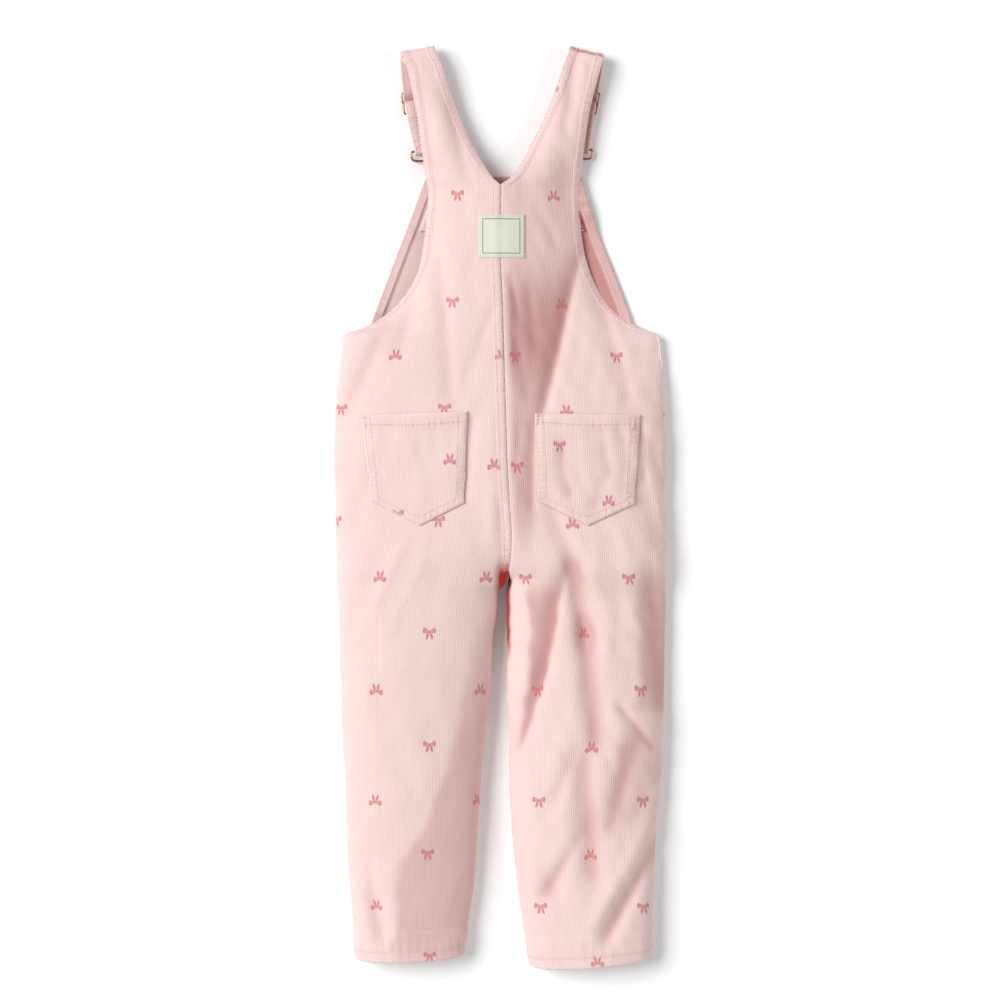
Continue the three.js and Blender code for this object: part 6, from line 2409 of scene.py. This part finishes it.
class Overalls:
    """The whole garment."""

    def __init__(self, finishes: Finishes) -> None:
        """Keep the materials."""
        self.finishes = finishes
        self.trees: dict[Side, BVHTree] = {}

    def register(self, piece: bpy.types.Object, node: str | None) -> bpy.types.Object:
        """Ride a piece on the garment's one body, hide the solid it stands for and log its faces.

        Args:
            piece: The piece.
            node: The solid it replaces, if any.

        Returns:
            The piece.
        """
        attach(piece, "root")
        if node:
            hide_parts(node)
        LOG.info("%s: %d faces", piece.name, len(piece.data.polygons))
        return piece

    def sheet(
        self, piece: bpy.types.Object, sizes: tuple[float, float, float],
    ) -> None:
        """Declare a piece as a sheet of cloth.

        Args:
            piece: The piece.
            sizes: Flat width, length and area in metres.
        """
        width, length, area = sizes
        area = min(area, width * length)
        LOG.info("%s: cut %.0f x %.0f mm, %.4f m2", piece.name, width * 1e3, length * 1e3, area)

    def stitched(self, name: str, paths: Rows, tacks: Rows | tuple = ()) -> bpy.types.Object:
        """Sew rows of stitches as one piece.

        Args:
            name: The piece's name.
            paths: Rows of topstitching.
            tacks: Rows of close stitches.

        Returns:
            The piece.
        """
        sewing = Stitching()
        for path, normals in paths:
            sewing.sew(path, normals)
        close = Thread(length=0.8, step=0.9, radius=0.3)
        for path, normals in tacks:
            sewing.sew(path, normals, close)
        return self.register(sewing.build(name, self.finishes.thread), None)

    def side(self, side: Side) -> None:
        """Build all the pieces of one side.

        Args:
            side: The side.
        """
        word = side.word
        left = side is Side.LEFT
        sections = LEFT_SECTIONS if left else RIGHT_SECTIONS
        strap = LEFT_STRAP if left else RIGHT_STRAP
        cloth = [self.finishes.corduroy, self.finishes.wrong_side]
        panel = BackPanel(
            side, sections, strap, LEFT_GRAIN if left else RIGHT_GRAIN,
            LEFT_LEVELS if left else RIGHT_LEVELS, LEFT_PLANES if left else RIGHT_PLANES,
            1.0,
        )
        panel.build_wall()
        made = panel.wall.build(f"back_{word}_cloth", cloth)
        self.register(made, f"back_{word}")
        sewn = self.stitched(f"back_{word}_stitches", panel.seam_rows())
        self.sheet(made, panel.sizes())
        tree = panel.surface()
        self.trees[side] = tree
        pocket = LEFT_POCKET if left else RIGHT_POCKET
        pocket.build_wall(tree)
        made = pocket.wall.build(f"pocket_{word}_cloth", cloth)
        self.register(made, f"pocket_{word}")
        sewn = self.stitched(f"pocket_{word}_stitches", pocket.seam_rows(), pocket.tacks())
        self.sheet(made, pocket.sizes())
        front = LegFront(side, sections)
        front.build_wall()
        made = front.wall.build(f"front_{word}_cloth", cloth[::-1])
        self.register(made, f"front_{word}")
        self.sheet(made, front.sizes())
        metal = StrapHardware(side, strap)
        for piece, node in (
            (metal.slide(self.finishes.copper), f"slide_{word}"),
            (metal.buckle(self.finishes.copper), f"buckle_{word}"),
            (metal.button(self.finishes.copper), f"button_{word}"),
        ):
            self.register(piece, node)

    def front(self) -> None:
        """Build the bib, its facing and the label."""
        bib = Bib()
        bib.build_walls()
        cloth = [self.finishes.wrong_side, self.finishes.corduroy]
        made = self.register(bib.wall.build("bib_cloth", cloth), "bib")
        sewn = self.stitched("bib_stitches", bib.seam_rows())
        width = (BIB_SECTIONS[-1].right - BIB_SECTIONS[-1].left) * METRE
        length = (BIB_SECTIONS[0].y - BIB_SECTIONS[-1].y) * METRE
        area = bib.wall.area() * METRE**2
        self.sheet(made, (width, length, area))
        piece = bib.facing_wall.build("bib_facing_cloth", [self.finishes.corduroy, self.finishes.wrong_side])
        made = self.register(piece, "bib_facing")
        sewn = self.stitched("bib_facing_stitches", [bib.facing_row()])
        points = bib.facing_wall.middle
        size = (float(np.ptp(points[..., 0])) * METRE, float(np.ptp(points[..., 1])) * METRE)
        self.sheet(made, (*size, bib.facing_wall.area() * METRE**2))
        label = NeckLabel()
        label.build_wall(list(self.trees.values()))
        piece = label.wall.build("label_woven", [self.finishes.label, self.finishes.label])
        made = self.register(piece, "label")
        sewn = self.stitched("label_stitches", [label.seam_row()])
        size = ((label.x1 - label.x0) * METRE, (label.y1 - label.y0) * METRE)
        self.sheet(made, (*size, label.wall.area() * METRE**2))


LEFT_PLANES = (
    Facet(
        ((-345, -84), (-332, -82), (-285, -81), (-254, -62), (-179, -36), (-66, -14), (-47, -8)),
        0.08, -420, -60, 100.0, 5.0, 0.8,
    ),
)
RIGHT_LINE = ((-60, 26), (0, 26), (58, 26.5), (80, 35), (120, 45), (190, 62), (230, 80))
RIGHT_PLANES = (
    Facet(((90, 8), (130, 5), (201, 3), (275, 3)), 0.14, 80, 285, 44.0, 7.0),
    Facet(((-50, 13), (20, 10), (60, 9), (120, 7), (200, 5)), 0.25, -62, 204, 66.0, 4.0),
    Facet(RIGHT_LINE, -0.25, -62, 204, 66.0, 3.5),
    Facet(RIGHT_LINE, -0.13, 76, 236, 60.0, 5.0),
    Facet(((-200, 13), (-179, 15.7), (-140, 21.2), (-101, 23.5), (-62, 21)), 0.28, -206, -44, 34.0, 3.0, 1.0),
    Facet(((-200, 15), (-179, 21), (-140, 33), (-101, 43), (-62, 48)), -0.28, -206, -44, 34.0, 2.5, 0.6),
    Facet(((-170, 106), (-120, 108), (-62, 104)), 0.18, -174, -40, 36.0, 3.5, 1.5),
    Facet(((-262, 80), (-236, 84), (-206, 88), (-176, 95)), 0.15, -270, -160, 30.0, 5.0, 1.4),
    Facet(((-262, 90), (-236, 110), (-206, 126), (-176, 124)), -0.15, -270, -160, 30.0, 5.0, 1.0),
)

LEFT_POCKET = BackPocket(
    Side.LEFT, (-108.3, 71.0), (-25.2, 74.2), (-99.7, 3.5), (-27.5, 2.8), (-62.8, -15.3), (-79.3, -167.0)
)
RIGHT_POCKET = BackPocket(
    Side.RIGHT, (109.9, 71.8), (26.8, 72.6), (105.2, 2.0), (30.7, 3.1), (68.3, -15.3), (46.3, -113.4)
)


def main() -> None:
    """Build the studio and the garment."""
    logging.basicConfig(level=logging.INFO, format="%(name)s %(message)s")
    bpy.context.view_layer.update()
    studio = Studio()
    studio.camera()
    studio.floor()
    studio.light()
    garment = Overalls(Finishes.make())
    garment.side(Side.LEFT)
    garment.side(Side.RIGHT)
    garment.front()


if __name__ == "__main__":
    main()
